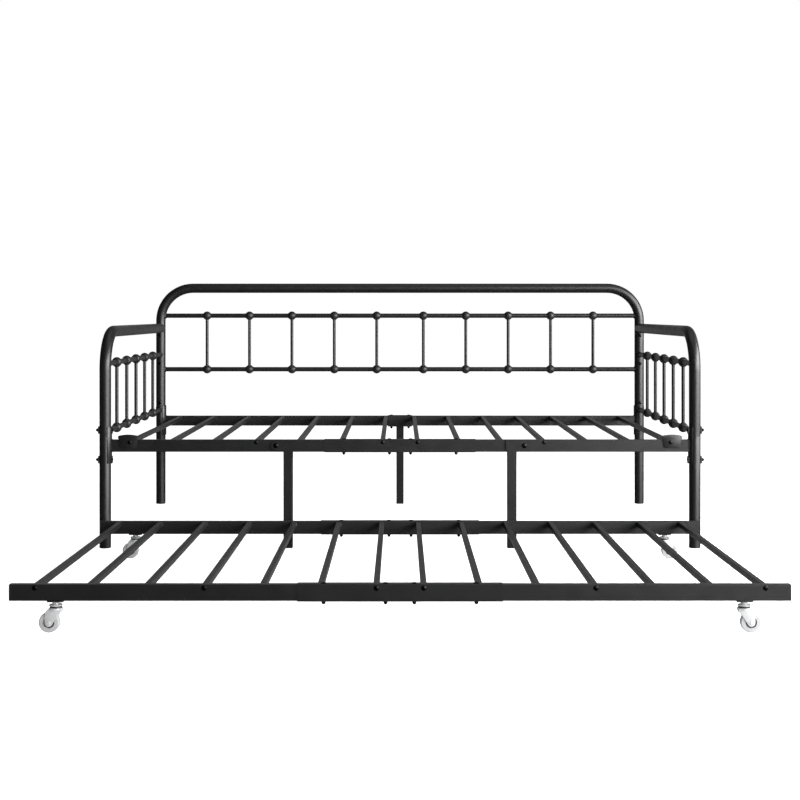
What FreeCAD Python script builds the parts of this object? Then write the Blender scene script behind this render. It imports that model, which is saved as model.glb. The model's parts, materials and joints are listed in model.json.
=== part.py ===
import FreeCAD, Part
import math
import os

# Metal daybed with a pull-out trundle, in millimetres.
# +X runs along the bed, +Y to the back panel, +Z up.  The origin is on the floor,
# in the middle of the whole layout with the trundle pulled out in front.

V = FreeCAD.Vector
X_AXIS = V(1, 0, 0)
Y_AXIS = V(0, 1, 0)
Z_AXIS = V(0, 0, 1)
SIDES = (-1, 1)

# Tube and bar stock
POST_R = 19.0
TUBE_WALL = 1.2
BOX_CORNER = 1.5
THIN_RAIL_R = 9.0
THIN_WALL = 1.0
SPINDLE_R = 6.0
RAIL_H = 40.0
RAIL_D = 20.0
SLAT = 15.0
LEG = 30.0
FIT = 0.2
SEAM = 0.1
FOOT_T = 4.0
FOOT_PLUG = 14.0

# Daybed layout
POST_SPAN = 1952.0
BED_DEPTH = 1010.0
HOOP_Z = 878.0
HOOP_BEND = 132.0
ARM_Z = 715.0
ARM_BEND = 125.0
DECK_TOP = 358.0
BACK_RAIL_ZS = (766.0, 547.6)
BACK_SPINDLES_PER_HALF = 5
BACK_SPINDLE_FIRST = 95.2
BACK_PITCH = 173.0
ARM_RAIL_ZS = (608.0, 383.0)
ARM_SPINDLES = 5
ARM_PITCH = 164.0
SLAT_FIRST = 57.7
SLAT_SECOND = 193.8
SLAT_PITCH = 140.9
SLATS_PER_HALF = 7
DECK_SLAT_LAST = 893.5
SLAT_DROP = 1.0

# Cast ball ferrules with shallow lips, one at each crossing of a spindle and a thin rail
BALL_R = 17.2
COLLAR_R = 10.4
COLLAR_REACH = 15.4
SOCKET_R = 7.6
SOCKET_REACH = 16.6

# Front legs plug into the arm tubes; rails are bolted on through curved saddles
LEG_SEAM_Z = 370.0
SPIGOT_R = POST_R - TUBE_WALL - FIT
SPIGOT_REACH = 60.0
POST_BOLT_ZS = (389.6, 291.6)
SADDLE_T = 3.0
SADDLE_HALF_H = 60.0
SADDLE_ANGLE = 60.0
ARM_TABS = ((676.0, 695.0, 686.0), (562.0, 598.0, 572.0), (393.0, 424.0, 412.0))
ARM_TAB_T = 2.0
ARM_TAB_ANGLE = 30.0

# Fasteners
BOLT_R = 3.0
HOLE_R = 3.3
HEAD_R = 8.5
HEAD_H = 2.8
SMALL_HEAD_R = 6.5
SMALL_HEAD_H = 2.2
NUT_FLATS = 10.0
NUT_H = 9.0
WASHER_H = 25.0
WASHER_W = 20.0

# Joiner sleeves over the meeting rail halves
SLEEVE_HALF = 250.0
SLEEVE_PROUD = 1.5
JOINER_XS = (-186.0, -35.0, 35.0, 186.0)
CENTER_BRACKET_HALF = 49.0
CENTER_BRACKET_FLOOR = 3.4
CENTER_BRACKET_TOP = 2.0

# Mattress guards on the front rail
GUARD_X = 898.0
GUARD_HALF_W = 34.5
GUARD_WAIST = 31.0
GUARD_FOOT = 27.0
GUARD_RISE = 17.5
GUARD_WIDEST = 9.0
GUARD_DROP = 28.0
GUARD_T = 2.5

# Folding front legs
FOLD_PIVOT_X = 410.0
FOLD_LEG_X = 370.0
FOLD_PIVOT_Z = 339.0
FOLD_CHEEK_T = 2.0
FOLD_CHEEK_R = 16.0
FOLD_SKIRT = 20.0
FOLD_LIP = 5.0
FOLD_BOLT_R = 4.0
RUNNING = 0.05

# Trundle
TRUNDLE_REACH = 1161.0
TRUNDLE_DEPTH = 983.0
TRUNDLE_HALF_LENGTH = 950.0
TRUNDLE_BOTTOM = 78.0
TRUNDLE_SLAT_LAST = 887.0
CAP_T = 3.0

# Casters
CASTER_X = 837.5
CASTER_TRAIL = 15.5
WHEEL_R = 25.0
WHEEL_W = 17.0
AXLE_R = 3.0
WEB_R = 13.4
RIVET_R = 4.8
RIVET_H = 1.6
CROWN_R = 16.5
CROWN_BOTTOM = 55.5
CROWN_TOP = 60.7
RACE_BOTTOM = 61.0
RACE_TOP = 68.0
CHEEK_INNER = 10.0
CHEEK_T = 1.6
STEM_R = 5.0

# Derived places
POST_X = POST_SPAN / 2
TRUNDLE_TOP = TRUNDLE_BOTTOM + RAIL_H
DECK_BOTTOM = DECK_TOP - RAIL_H
LAYOUT_FRONT = -(TRUNDLE_REACH - RAIL_D / 2 + CROWN_R)
LAYOUT_BACK = BED_DEPTH + POST_R + NUT_H
FRONT_Y = -(LAYOUT_FRONT + LAYOUT_BACK) / 2
BACK_Y = FRONT_Y + BED_DEPTH
TRUNDLE_FRONT_Y = FRONT_Y - TRUNDLE_REACH + RAIL_D / 2
TRUNDLE_REAR_Y = TRUNDLE_FRONT_Y + TRUNDLE_DEPTH - RAIL_D
INNER_SLAT_XS = [SLAT_FIRST] + [SLAT_SECOND + SLAT_PITCH * i for i in range(SLATS_PER_HALF - 2)]
DECK_SLAT_XS = INNER_SLAT_XS + [DECK_SLAT_LAST]
TRUNDLE_SLAT_XS = INNER_SLAT_XS + [TRUNDLE_SLAT_LAST]
SCREWED_SLATS = (0, 3, 6)
ARM_SPINDLE_YS = [FRONT_Y + BED_DEPTH / 2 + ARM_PITCH * (i - 2) for i in range(ARM_SPINDLES)]
BACK_SPINDLE_XS = sorted(side * (BACK_SPINDLE_FIRST + BACK_PITCH * i)
                         for side in SIDES for i in range(BACK_SPINDLES_PER_HALF))


def block(x0, x1, y0, y1, z0, z1):
    """Box between two corners."""
    return Part.makeBox(x1 - x0, y1 - y0, z1 - z0, V(x0, y0, z0))


def rod(start, direction, radius, length):
    """Solid round bar."""
    return Part.makeCylinder(radius, length, start, direction)


def round_tube(start, direction, radius, wall, length):
    """Hollow round tube."""
    outer = rod(start, direction, radius, length)
    return outer.cut(rod(start, direction, radius - wall, length))


def box_tube(x0, x1, y0, y1, z0, z1, wall, axis):
    """Rectangular tube, open along the named axis, with softly rounded long edges."""
    outer = round_long_edges(block(x0, x1, y0, y1, z0, z1), axis, BOX_CORNER)
    margins = {"x": (0, wall, wall), "y": (wall, 0, wall), "z": (wall, wall, 0)}
    mx, my, mz = margins[axis]
    return outer.cut(block(x0 + mx, x1 - mx, y0 + my, y1 - my, z0 + mz, z1 - mz))


def round_long_edges(solid, axis, radius):
    """Fillet the edges that run along the named axis."""
    direction = {"x": X_AXIS, "y": Y_AXIS, "z": Z_AXIS}[axis]
    chosen = []
    for edge in solid.Edges:
        run = edge.Vertexes[-1].Point - edge.Vertexes[0].Point
        if run.Length > 0 and abs(run.normalize().dot(direction)) > 0.999:
            chosen.append(edge)
    return solid.makeFillet(radius, chosen)


def section(center, direction, radius, wall):
    """Flat cross-section of a round tube, or of a solid bar where wall is 0."""
    disc = Part.Face(Part.Wire(Part.makeCircle(radius, center, direction)))
    if wall == 0:
        return disc
    return disc.cut(Part.Face(Part.Wire(Part.makeCircle(radius - wall, center, direction)))).Faces[0]


def bent_tube(points, bend, radius, wall):
    """Round tube along straight runs, with every inner corner bent to one radius."""
    pieces = []
    start = points[0]
    for before, corner, after in zip(points, points[1:], points[2:]):
        into = (corner - before).normalize()
        out = (after - corner).normalize()
        turn = into.getAngle(out)
        setback = bend * math.tan(turn / 2)
        enter = corner - into * setback
        inward = (out - into * out.dot(into)).normalize()
        axis = into.cross(inward)
        pieces.append(section(start, into, radius, wall).extrude(enter - start))
        elbow = section(enter, into, radius, wall)
        pieces.append(elbow.revolve(enter + inward * bend, axis, math.degrees(turn)))
        start = corner + out * setback
    last = points[-1] - start
    pieces.append(section(start, last, radius, wall).extrude(last))
    return pieces[0].multiFuse(pieces[1:]).removeSplitter()


def bolt(seat, direction, grip, head_r=HEAD_R, head_h=HEAD_H, shank_r=BOLT_R):
    """Domed bolt turned in one piece: the head stands out along direction, the shank runs back by grip."""
    across = Y_AXIS if abs(direction.y) < 0.5 else X_AXIS

    def at(radius, along):
        return seat + across * radius + direction * along

    ball_r = (head_r ** 2 + head_h ** 2) / (2 * head_h)
    half_turn = math.asin(head_r / ball_r) / 2
    crest = at(ball_r * math.sin(half_turn), head_h - ball_r * (1 - math.cos(half_turn)))
    corners = [at(0, head_h), at(0, -grip), at(shank_r, -grip), at(shank_r, 0), at(head_r, 0)]
    outline = Part.makePolygon(corners)
    dome = Part.Arc(at(head_r, 0), crest, at(0, head_h)).toShape()
    return Part.Face(Part.Wire(outline.Edges + [dome])).revolve(seat, direction, 360)


def cap_nut(seat, direction, shank_r=BOLT_R, flats=NUT_FLATS, height=NUT_H):
    """Hexagon cap nut standing out along direction, bored to pass the bolt's end."""
    across = direction.cross(Z_AXIS)
    if across.Length < 0.5:
        across = X_AXIS
    up = direction.cross(across)
    corner_r = flats / math.sqrt(3)
    corners = []
    for step in range(7):
        turn = math.radians(60 * step + 30)
        corners.append(seat + across * (corner_r * math.cos(turn)) + up * (corner_r * math.sin(turn)))
    body = Part.Face(Part.makePolygon(corners)).extrude(direction * height)
    dome_r = flats * 0.72
    body = body.common(Part.makeSphere(dome_r, seat + direction * (height - dome_r)).fuse(
        rod(seat, direction, flats, height * 0.6)))
    return body.cut(rod(seat, direction, shank_r + SEAM, height * 0.7))


def curved_plate(center_x, center_y, facing, half_angle, inner_r, thick, z0, z1):
    """Plate bent round an upright post, centred on the facing direction in degrees."""
    ring = Part.makeCylinder(inner_r + thick, z1 - z0, V(center_x, center_y, z0), Z_AXIS, 2 * half_angle)
    hole = Part.makeCylinder(inner_r, z1 - z0, V(center_x, center_y, z0), Z_AXIS)
    plate = ring.cut(hole)
    plate.rotate(V(center_x, center_y, 0), Z_AXIS, facing - half_angle)
    return plate


def fish_mouth(solid, center_x, center_y, radius):
    """Shape a bar's end to sit against an upright round post."""
    return solid.cut(rod(V(center_x, center_y, -10), Z_AXIS, radius, HOOP_Z + 200))


def ball_ferrule(center, rail_axis, socket_down):
    """Cast ball with a shallow lip round the rail and another round the spindle's end."""
    socket_z = -SOCKET_REACH if socket_down else 0
    body = Part.makeSphere(BALL_R, center)
    body = body.fuse(rod(center - rail_axis * COLLAR_REACH, rail_axis, COLLAR_R, 2 * COLLAR_REACH))
    body = body.fuse(rod(center + V(0, 0, socket_z), Z_AXIS, SOCKET_R, SOCKET_REACH))
    body = body.cut(rod(center - rail_axis * 30, rail_axis, THIN_RAIL_R + SEAM, 60))
    spindle_z = -30 if socket_down else 0
    return body.cut(rod(center + V(0, 0, spindle_z), Z_AXIS, SPINDLE_R + SEAM, 30))


def spindle(x, y, z_low, z_high, rail_axis):
    """Upright tube between two thin rails, its ends shaped to them."""
    bar = round_tube(V(x, y, z_low), Z_AXIS, SPINDLE_R, THIN_WALL, z_high - z_low)
    for z in (z_low, z_high):
        bar = bar.cut(rod(V(x, y, z) - rail_axis * 20, rail_axis, THIN_RAIL_R + SEAM, 40))
    return bar


def drill(solid, points, direction, radius, depth):
    """Cut round holes through a solid, each centred on a point."""
    for point in points:
        solid = solid.cut(rod(point - direction * (depth / 2), direction, radius, depth))
    return solid


def post_bolt_points(y):
    """Centres of the bolts through both posts at one depth."""
    return [V(side * POST_X, y, z) for side in SIDES for z in POST_BOLT_ZS]


def arm_bolt_points():
    """Centres of the bolts that hold the arms to the back posts."""
    return [V(side * POST_X, BACK_Y, tab[2]) for side in SIDES for tab in ARM_TABS]


def back_panel():
    """Bent back hoop, its two thin rails, spindles and ball ferrules."""
    corners = [V(-POST_X, BACK_Y, FOOT_T), V(-POST_X, BACK_Y, HOOP_Z),
               V(POST_X, BACK_Y, HOOP_Z), V(POST_X, BACK_Y, FOOT_T)]
    hoop = bent_tube(corners, HOOP_BEND, POST_R, TUBE_WALL)
    hoop_bar = bent_tube(corners, HOOP_BEND, POST_R + SEAM, 0)
    hoop = drill(hoop, post_bolt_points(BACK_Y), X_AXIS, HOLE_R, 60)
    hoop = drill(hoop, arm_bolt_points(), Y_AXIS, HOLE_R, 60)
    rails = []
    for z in BACK_RAIL_ZS:
        rail = round_tube(V(-POST_X, BACK_Y, z), X_AXIS, THIN_RAIL_R, THIN_WALL, POST_SPAN)
        rails.append(biggest(rail.cut(hoop_bar)))
    z_high, z_low = BACK_RAIL_ZS
    spindles = [spindle(x, BACK_Y, z_low, z_high, X_AXIS) for x in BACK_SPINDLE_XS]
    balls = []
    for x in BACK_SPINDLE_XS:
        balls.append(ball_ferrule(V(x, BACK_Y, z_high), X_AXIS, True))
        balls.append(ball_ferrule(V(x, BACK_Y, z_low), X_AXIS, False))
    return {"back_hoop_tube": [hoop], "back_rails": rails,
            "back_spindles": spindles, "back_ball_ferrules": balls}


def biggest(shape):
    """The largest solid of a cut shape."""
    return max(shape.Solids, key=lambda solid: solid.Volume)


def arms():
    """Bent arm tubes with thin rails, spindles, ball ferrules and end tabs."""
    nodes = {"arm_rails": [], "arm_spindles": [], "arm_ball_ferrules": [], "arm_end_tabs": []}
    z_high, z_low = ARM_RAIL_ZS
    for side, name in zip(SIDES, ("left_arm_tube", "right_arm_tube")):
        x = side * POST_X
        corners = [V(x, FRONT_Y, LEG_SEAM_Z), V(x, FRONT_Y, ARM_Z), V(x, BACK_Y, ARM_Z)]
        arm = bent_tube(corners, ARM_BEND, POST_R, TUBE_WALL)
        arm_bar = bent_tube(corners, ARM_BEND, POST_R + SEAM, 0)
        arm = biggest(fish_mouth(arm, x, BACK_Y, POST_R + FIT))
        bolt_at = V(x, FRONT_Y, POST_BOLT_ZS[0])
        nodes[name] = [drill(arm, [bolt_at], X_AXIS, HOLE_R, 60)]
        for z in ARM_RAIL_ZS:
            rail = round_tube(V(x, FRONT_Y, z), Y_AXIS, THIN_RAIL_R, THIN_WALL, BED_DEPTH)
            rail = rail.cut(arm_bar)
            rail = fish_mouth(rail, x, BACK_Y, POST_R + FIT)
            nodes["arm_rails"].append(biggest(rail))
        for y in ARM_SPINDLE_YS:
            nodes["arm_spindles"].append(spindle(x, y, z_low, z_high, Y_AXIS))
            nodes["arm_ball_ferrules"].append(ball_ferrule(V(x, y, z_high), Y_AXIS, True))
            nodes["arm_ball_ferrules"].append(ball_ferrule(V(x, y, z_low), Y_AXIS, False))
        for z0, z1, bolt_z in ARM_TABS:
            tab = curved_plate(x, BACK_Y, 270, ARM_TAB_ANGLE, POST_R + FIT, ARM_TAB_T, z0, z1)
            nodes["arm_end_tabs"].append(drill(tab, [V(x, BACK_Y, bolt_z)], Y_AXIS, HOLE_R, 60))
    return nodes


def foot_cap(x, y, outline):
    """Plastic foot: a pad under the tube with a plug that goes up inside it."""
    if outline == "round":
        pad = rod(V(x, y, 0), Z_AXIS, POST_R, FOOT_T)
        pad = pad.makeChamfer(1.0, [pad.Edges[2]])
        plug = rod(V(x, y, FOOT_T), Z_AXIS, POST_R - TUBE_WALL - FIT, FOOT_PLUG)
    else:
        half = LEG / 2
        pad = block(x - half, x + half, y - half, y + half, 0, FOOT_T)
        inner = half - TUBE_WALL - FIT
        plug = block(x - inner, x + inner, y - inner, y + inner, FOOT_T, FOOT_T + FOOT_PLUG)
    return pad.fuse(plug).removeSplitter()


def front_legs():
    """Lower front legs with a swaged spigot that goes up into the arm tube."""
    nodes = {"post_foot_caps": []}
    for side, name in zip(SIDES, ("left_front_leg", "right_front_leg")):
        x = side * POST_X
        tube = round_tube(V(x, FRONT_Y, FOOT_T), Z_AXIS, POST_R, TUBE_WALL, LEG_SEAM_Z - FOOT_T)
        spigot = round_tube(V(x, FRONT_Y, LEG_SEAM_Z - 12), Z_AXIS, SPIGOT_R, TUBE_WALL, 12 + SPIGOT_REACH)
        neck = round_tube(V(x, FRONT_Y, LEG_SEAM_Z - 12), Z_AXIS, POST_R - 0.5, 3.0, 12 - SEAM)
        leg = tube.fuse(neck).fuse(spigot).removeSplitter()
        holes = [V(x, FRONT_Y, z) for z in POST_BOLT_ZS]
        nodes[name] = [drill(leg, holes, X_AXIS, HOLE_R, 60)]
        nodes["post_foot_caps"].append(foot_cap(x, FRONT_Y, "round"))
        nodes["post_foot_caps"].append(foot_cap(x, BACK_Y, "round"))
    nodes["post_foot_caps"].append(foot_cap(0, BACK_Y, "square"))
    return nodes


def half_rail(side, x_end, y, z0, cross_holes, joiner_xs):
    """One half of a long rail, from its outer end to the middle of the bed."""
    near, far = sorted((side * SEAM * 5, side * x_end))
    rail = box_tube(near, far, y - RAIL_D / 2, y + RAIL_D / 2, z0, z0 + RAIL_H, TUBE_WALL, "x")
    mid_z = z0 + RAIL_H / 2
    upright = [V(x, y, mid_z) for x in joiner_xs if x * side > 0]
    rail = drill(rail, upright, Z_AXIS, HOLE_R, RAIL_H + 10)
    return drill(rail, cross_holes, Y_AXIS, HOLE_R, RAIL_D + 10)


def screw_points(xs, y, rail_top):
    """Where slat screws cross a rail at one side's slat places."""
    z = rail_top - SLAT_DROP - SLAT / 2
    return [V(x, y, z) for x in xs]


def signed_screw_xs(side, slat_xs):
    """The screwed slats' places on one side."""
    return [side * slat_xs[i] for i in SCREWED_SLATS]


def sleeve(y, z0, slat_xs, half_length=SLEEVE_HALF):
    """Joiner sleeve round the two rail ends."""
    half_d = RAIL_D / 2 + SLEEVE_PROUD
    shell = block(-half_length, half_length, y - half_d, y + half_d, z0 - SLEEVE_PROUD,
                  z0 + RAIL_H + SLEEVE_PROUD)
    shell = round_long_edges(shell, "x", SLEEVE_PROUD)
    inner = RAIL_D / 2 + SEAM
    shell = shell.cut(block(-half_length, half_length, y - inner, y + inner, z0 - SEAM, z0 + RAIL_H + SEAM))
    shell = drill(shell, [V(x, y, z0) for x in JOINER_XS], Z_AXIS, HOLE_R, 3 * RAIL_H)
    screws = [V(side * slat_xs[0], y, z0 + RAIL_H - SLAT_DROP - SLAT / 2) for side in SIDES]
    return drill(shell, screws, Y_AXIS, HOLE_R, 2 * RAIL_D)


def joiner_set(y, z0, xs, top_gap=SLEEVE_PROUD, bottom_gap=SLEEVE_PROUD):
    """Upright bolts and cap nuts through a sleeve and the rail inside it."""
    solids = []
    for x in xs:
        top = V(x, y, z0 + RAIL_H + top_gap)
        bottom = V(x, y, z0 - bottom_gap)
        solids.append(bolt(top, Z_AXIS, (top - bottom).Length + NUT_H / 2))
        solids.append(cap_nut(bottom, -Z_AXIS))
    return solids


def slats(xs, y_front, y_rear, rail_top, sleeve_at_rear):
    """Square tube slats between a front and a rear rail."""
    solids = []
    top = rail_top - SLAT_DROP
    for x in xs:
        in_sleeve = abs(x) < SLEEVE_HALF
        front_gap = RAIL_D / 2 + SEAM + (SLEEVE_PROUD if in_sleeve else 0)
        rear_gap = RAIL_D / 2 + SEAM + (SLEEVE_PROUD if in_sleeve and sleeve_at_rear else 0)
        solids.append(box_tube(x - SLAT / 2, x + SLAT / 2, y_front + front_gap, y_rear - rear_gap,
                               top - SLAT, top, THIN_WALL, "y"))
    return solids


def slat_screws(slat_xs, y_front, y_rear, rail_top, proud_front, proud_rear):
    """Domed screws through both rails into the ends of the screwed slats."""
    solids = []
    for side in SIDES:
        for i, x in enumerate(signed_screw_xs(side, slat_xs)):
            z = rail_top - SLAT_DROP - SLAT / 2
            front = V(x, y_front - RAIL_D / 2 - proud_front[i], z)
            rear = V(x, y_rear + RAIL_D / 2 + proud_rear[i], z)
            solids.append(bolt(front, -Y_AXIS, RAIL_D + 14 + proud_front[i], SMALL_HEAD_R, SMALL_HEAD_H))
            solids.append(bolt(rear, Y_AXIS, RAIL_D + 14 + proud_rear[i], SMALL_HEAD_R, SMALL_HEAD_H))
    return solids


def deck():
    """Rails, slats, sleeve, rear centre bracket and leg of the daybed's base."""
    crown_r = POST_R + SADDLE_T + FIT + SEAM
    nodes = {}
    for side, word in zip(SIDES, ("left", "right")):
        xs = signed_screw_xs(side, DECK_SLAT_XS)
        front_holes = screw_points(xs, FRONT_Y, DECK_TOP)
        rear_holes = screw_points(xs, BACK_Y, DECK_TOP)
        rail = half_rail(side, POST_X, FRONT_Y, DECK_BOTTOM, front_holes, JOINER_XS)
        rail = biggest(fish_mouth(rail, side * POST_X, FRONT_Y, crown_r))
        hinge_at = V(side * FOLD_PIVOT_X, FRONT_Y, FOLD_PIVOT_Z)
        nodes["deck_front_rail_" + word] = [drill(rail, [hinge_at], Y_AXIS, FOLD_BOLT_R + RUNNING, 40)]
        rear = half_rail(side, POST_X, BACK_Y, DECK_BOTTOM, rear_holes, JOINER_XS[1:3])
        nodes["deck_rear_rail_" + word] = [biggest(fish_mouth(rear, side * POST_X, BACK_Y, crown_r))]
        nodes["deck_slats_" + word] = slats([side * x for x in DECK_SLAT_XS], FRONT_Y, BACK_Y,
                                            DECK_TOP, False)
    nodes["deck_front_sleeve"] = [sleeve(FRONT_Y, DECK_BOTTOM, DECK_SLAT_XS)]
    nodes["deck_slat_screws"] = slat_screws(DECK_SLAT_XS, FRONT_Y, BACK_Y, DECK_TOP,
                                            (SLEEVE_PROUD, 0, GUARD_T), (0, 0, 0))
    nodes["rear_center_bracket"] = [rear_center_bracket()]
    half = LEG / 2
    leg_top = DECK_BOTTOM - CENTER_BRACKET_FLOOR
    nodes["rear_center_leg"] = [box_tube(-half, half, BACK_Y - half, BACK_Y + half, FOOT_T, leg_top,
                                         TUBE_WALL, "z")]
    nodes["deck_joiner_bolts"] = joiner_set(FRONT_Y, DECK_BOTTOM, JOINER_XS)
    nodes["deck_joiner_bolts"] += joiner_set(BACK_Y, DECK_BOTTOM, JOINER_XS[1:3],
                                             CENTER_BRACKET_TOP, CENTER_BRACKET_FLOOR)
    return nodes


def rear_center_bracket():
    """Short box that clamps the two rear rail halves over the centre leg."""
    half = CENTER_BRACKET_HALF
    half_d = RAIL_D / 2 + CENTER_BRACKET_TOP
    z0 = DECK_BOTTOM - CENTER_BRACKET_FLOOR
    shell = block(-half, half, BACK_Y - half_d, BACK_Y + half_d, z0, DECK_TOP + CENTER_BRACKET_TOP)
    inner = RAIL_D / 2 + SEAM
    shell = shell.cut(block(-half, half, BACK_Y - inner, BACK_Y + inner, DECK_BOTTOM - SEAM, DECK_TOP + SEAM))
    return drill(shell, [V(x, BACK_Y, DECK_TOP) for x in JOINER_XS[1:3]], Z_AXIS, HOLE_R, 3 * RAIL_H)


def mattress_guards():
    """Small shaped plates at both ends of the front rail that stop a mattress from sliding off."""
    solids = []
    y = FRONT_Y - RAIL_D / 2
    for side in SIDES:
        x = side * GUARD_X
        shoulder = GUARD_RISE - 4.5

        def at(dx, dz):
            return V(x + dx, y, DECK_TOP + dz)

        outline = [
            Part.LineSegment(at(-GUARD_WAIST, 0), at(-GUARD_FOOT, 5 - GUARD_DROP)),
            Part.Arc(at(-GUARD_FOOT, 5 - GUARD_DROP), at(1.6 - GUARD_FOOT, 1.5 - GUARD_DROP),
                     at(5.2 - GUARD_FOOT, -GUARD_DROP)),
            Part.LineSegment(at(5.2 - GUARD_FOOT, -GUARD_DROP), at(GUARD_FOOT - 5.2, -GUARD_DROP)),
            Part.Arc(at(GUARD_FOOT - 5.2, -GUARD_DROP), at(GUARD_FOOT - 1.6, 1.5 - GUARD_DROP),
                     at(GUARD_FOOT, 5 - GUARD_DROP)),
            Part.LineSegment(at(GUARD_FOOT, 5 - GUARD_DROP), at(GUARD_WAIST, 0)),
            Part.LineSegment(at(GUARD_WAIST, 0), at(GUARD_HALF_W, GUARD_WIDEST)),
            Part.Arc(at(GUARD_HALF_W, GUARD_WIDEST), at(GUARD_HALF_W - 0.8, GUARD_WIDEST + 2.8),
                     at(GUARD_HALF_W - 4, shoulder)),
            Part.Arc(at(GUARD_HALF_W - 4, shoulder), at(0, GUARD_RISE), at(4 - GUARD_HALF_W, shoulder)),
            Part.Arc(at(4 - GUARD_HALF_W, shoulder), at(0.8 - GUARD_HALF_W, GUARD_WIDEST + 2.8),
                     at(-GUARD_HALF_W, GUARD_WIDEST)),
            Part.LineSegment(at(-GUARD_HALF_W, GUARD_WIDEST), at(-GUARD_WAIST, 0)),
        ]
        wire = Part.Wire([piece.toShape() for piece in outline])
        plate = Part.Face(wire).extrude(V(0, -GUARD_T, 0))
        holes = screw_points([side * DECK_SLAT_XS[-1]], y, DECK_TOP)
        solids.append(drill(plate, holes, Y_AXIS, HOLE_R, 20))
    return {"mattress_guards": solids}


def post_hardware():
    """Curved rail-end saddles, bolts, moulded saddle washers and cap nuts at the posts."""
    nodes = {"rail_end_saddles": [], "post_bolts": [], "saddle_washers": [], "post_cap_nuts": [],
             "arm_bolts": []}
    mid_z = sum(POST_BOLT_ZS) / 2
    saddle_r = POST_R + FIT
    crown = saddle_r + SADDLE_T
    for side in SIDES:
        x = side * POST_X
        facing = 180 if side > 0 else 0
        inward = V(-side, 0, 0)
        for y in (FRONT_Y, BACK_Y):
            plate = curved_plate(x, y, facing, SADDLE_ANGLE, saddle_r, SADDLE_T,
                                 mid_z - SADDLE_HALF_H, mid_z + SADDLE_HALF_H)
            holes = [V(x, y, z) for z in POST_BOLT_ZS]
            nodes["rail_end_saddles"].append(drill(plate, holes, X_AXIS, HOLE_R, 60))
        for z in POST_BOLT_ZS:
            front = V(x, FRONT_Y, z)
            nodes["saddle_washers"].append(saddle_washer(front, inward, crown, 1.2))
            nodes["saddle_washers"].append(saddle_washer(front, -inward, POST_R, 3.0))
            seat = front + inward * (crown + 1.2)
            nut_seat = front - inward * (POST_R + 3.0)
            nodes["post_bolts"].append(bolt(seat, inward, (seat - nut_seat).Length + NUT_H / 2))
            nodes["post_cap_nuts"].append(cap_nut(nut_seat, -inward))
            back = V(x, BACK_Y, z)
            seat = back - inward * POST_R
            nodes["post_bolts"].append(bolt(seat, -inward, POST_R + crown, SMALL_HEAD_R, 1.5))
    for point in arm_bolt_points():
        seat = point - Y_AXIS * (POST_R + FIT + ARM_TAB_T)
        nut_seat = point + Y_AXIS * POST_R
        grip = (nut_seat - seat).Length + NUT_H / 2
        nodes["arm_bolts"].append(bolt(seat, -Y_AXIS, grip, SMALL_HEAD_R, SMALL_HEAD_H))
        nodes["arm_bolts"].append(cap_nut(nut_seat, Y_AXIS))
    return nodes


def saddle_washer(post_point, direction, inner_r, crown_t):
    """Moulded washer, flat outside and hollowed inside to sit on a round post."""
    flat_r = inner_r + crown_t
    deep = 4.5
    low = post_point + direction * (flat_r - deep)
    x0, x1 = sorted((low.x, low.x + direction.x * deep))
    half_w = WASHER_W / 2
    half_h = WASHER_H / 2
    body = block(x0, x1, low.y - half_w, low.y + half_w, low.z - half_h, low.z + half_h)
    body = round_long_edges(body, "x", 6.0)
    body = body.cut(rod(V(post_point.x, post_point.y, low.z - 30), Z_AXIS, inner_r + SEAM, 60))
    return drill(body, [post_point], X_AXIS, HOLE_R, 80)


def folding_leg(side, word):
    """Front leg that folds up sideways about a pivot bolt in the front rail."""
    x = side * FOLD_LEG_X
    pivot_x = side * FOLD_PIVOT_X
    half = LEG / 2
    cheek_inner = half - FOLD_CHEEK_T
    top = DECK_BOTTOM - FIT
    skirt_low = top - FOLD_SKIRT
    tube = box_tube(x - half, x + half, FRONT_Y - half, FRONT_Y + half, FOOT_T, skirt_low - SEAM,
                    TUBE_WALL, "z")
    lip_x = side * (FOLD_LEG_X - half - FOLD_LIP)
    cheeks = []
    for y0 in (FRONT_Y - half, FRONT_Y + cheek_inner):
        nose = rod(V(pivot_x, y0, FOLD_PIVOT_Z), Y_AXIS, FOLD_CHEEK_R, FOLD_CHEEK_T)
        x0, x1 = sorted((pivot_x, lip_x))
        plate = block(x0, x1, y0, y0 + FOLD_CHEEK_T, FOLD_PIVOT_Z - FOLD_CHEEK_R, DECK_TOP - 1)
        skirt = block(x - half, x + half, y0, y0 + FOLD_CHEEK_T, skirt_low, FOLD_PIVOT_Z)
        cheeks.append(nose.fuse(plate).fuse(skirt))
    web = block(x - half, x + half, FRONT_Y - half, FRONT_Y + half, top - FOLD_CHEEK_T, top)
    plug_half = half - TUBE_WALL - FIT
    plug = block(x - plug_half, x + plug_half, FRONT_Y - plug_half, FRONT_Y + plug_half,
                 skirt_low - 28, top - FOLD_CHEEK_T)
    bracket = cheeks[0].fuse(cheeks[1]).fuse(web).fuse(plug).removeSplitter()
    pivot = V(pivot_x, FRONT_Y, FOLD_PIVOT_Z)
    bracket = drill(bracket, [pivot], Y_AXIS, FOLD_BOLT_R + RUNNING, 60)
    seat = pivot - Y_AXIS * half
    nut_seat = pivot + Y_AXIS * half
    fastener = [bolt(seat, -Y_AXIS, LEG + 4, HEAD_R, HEAD_H, FOLD_BOLT_R),
                cap_nut(nut_seat, Y_AXIS, FOLD_BOLT_R, 13.0, 8.0)]
    return {word + "_fold_leg_tube": [tube], word + "_fold_leg_bracket": [bracket],
            word + "_fold_leg_pivot": fastener, word + "_fold_leg_foot": [foot_cap(x, FRONT_Y, "square")]}


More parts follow.
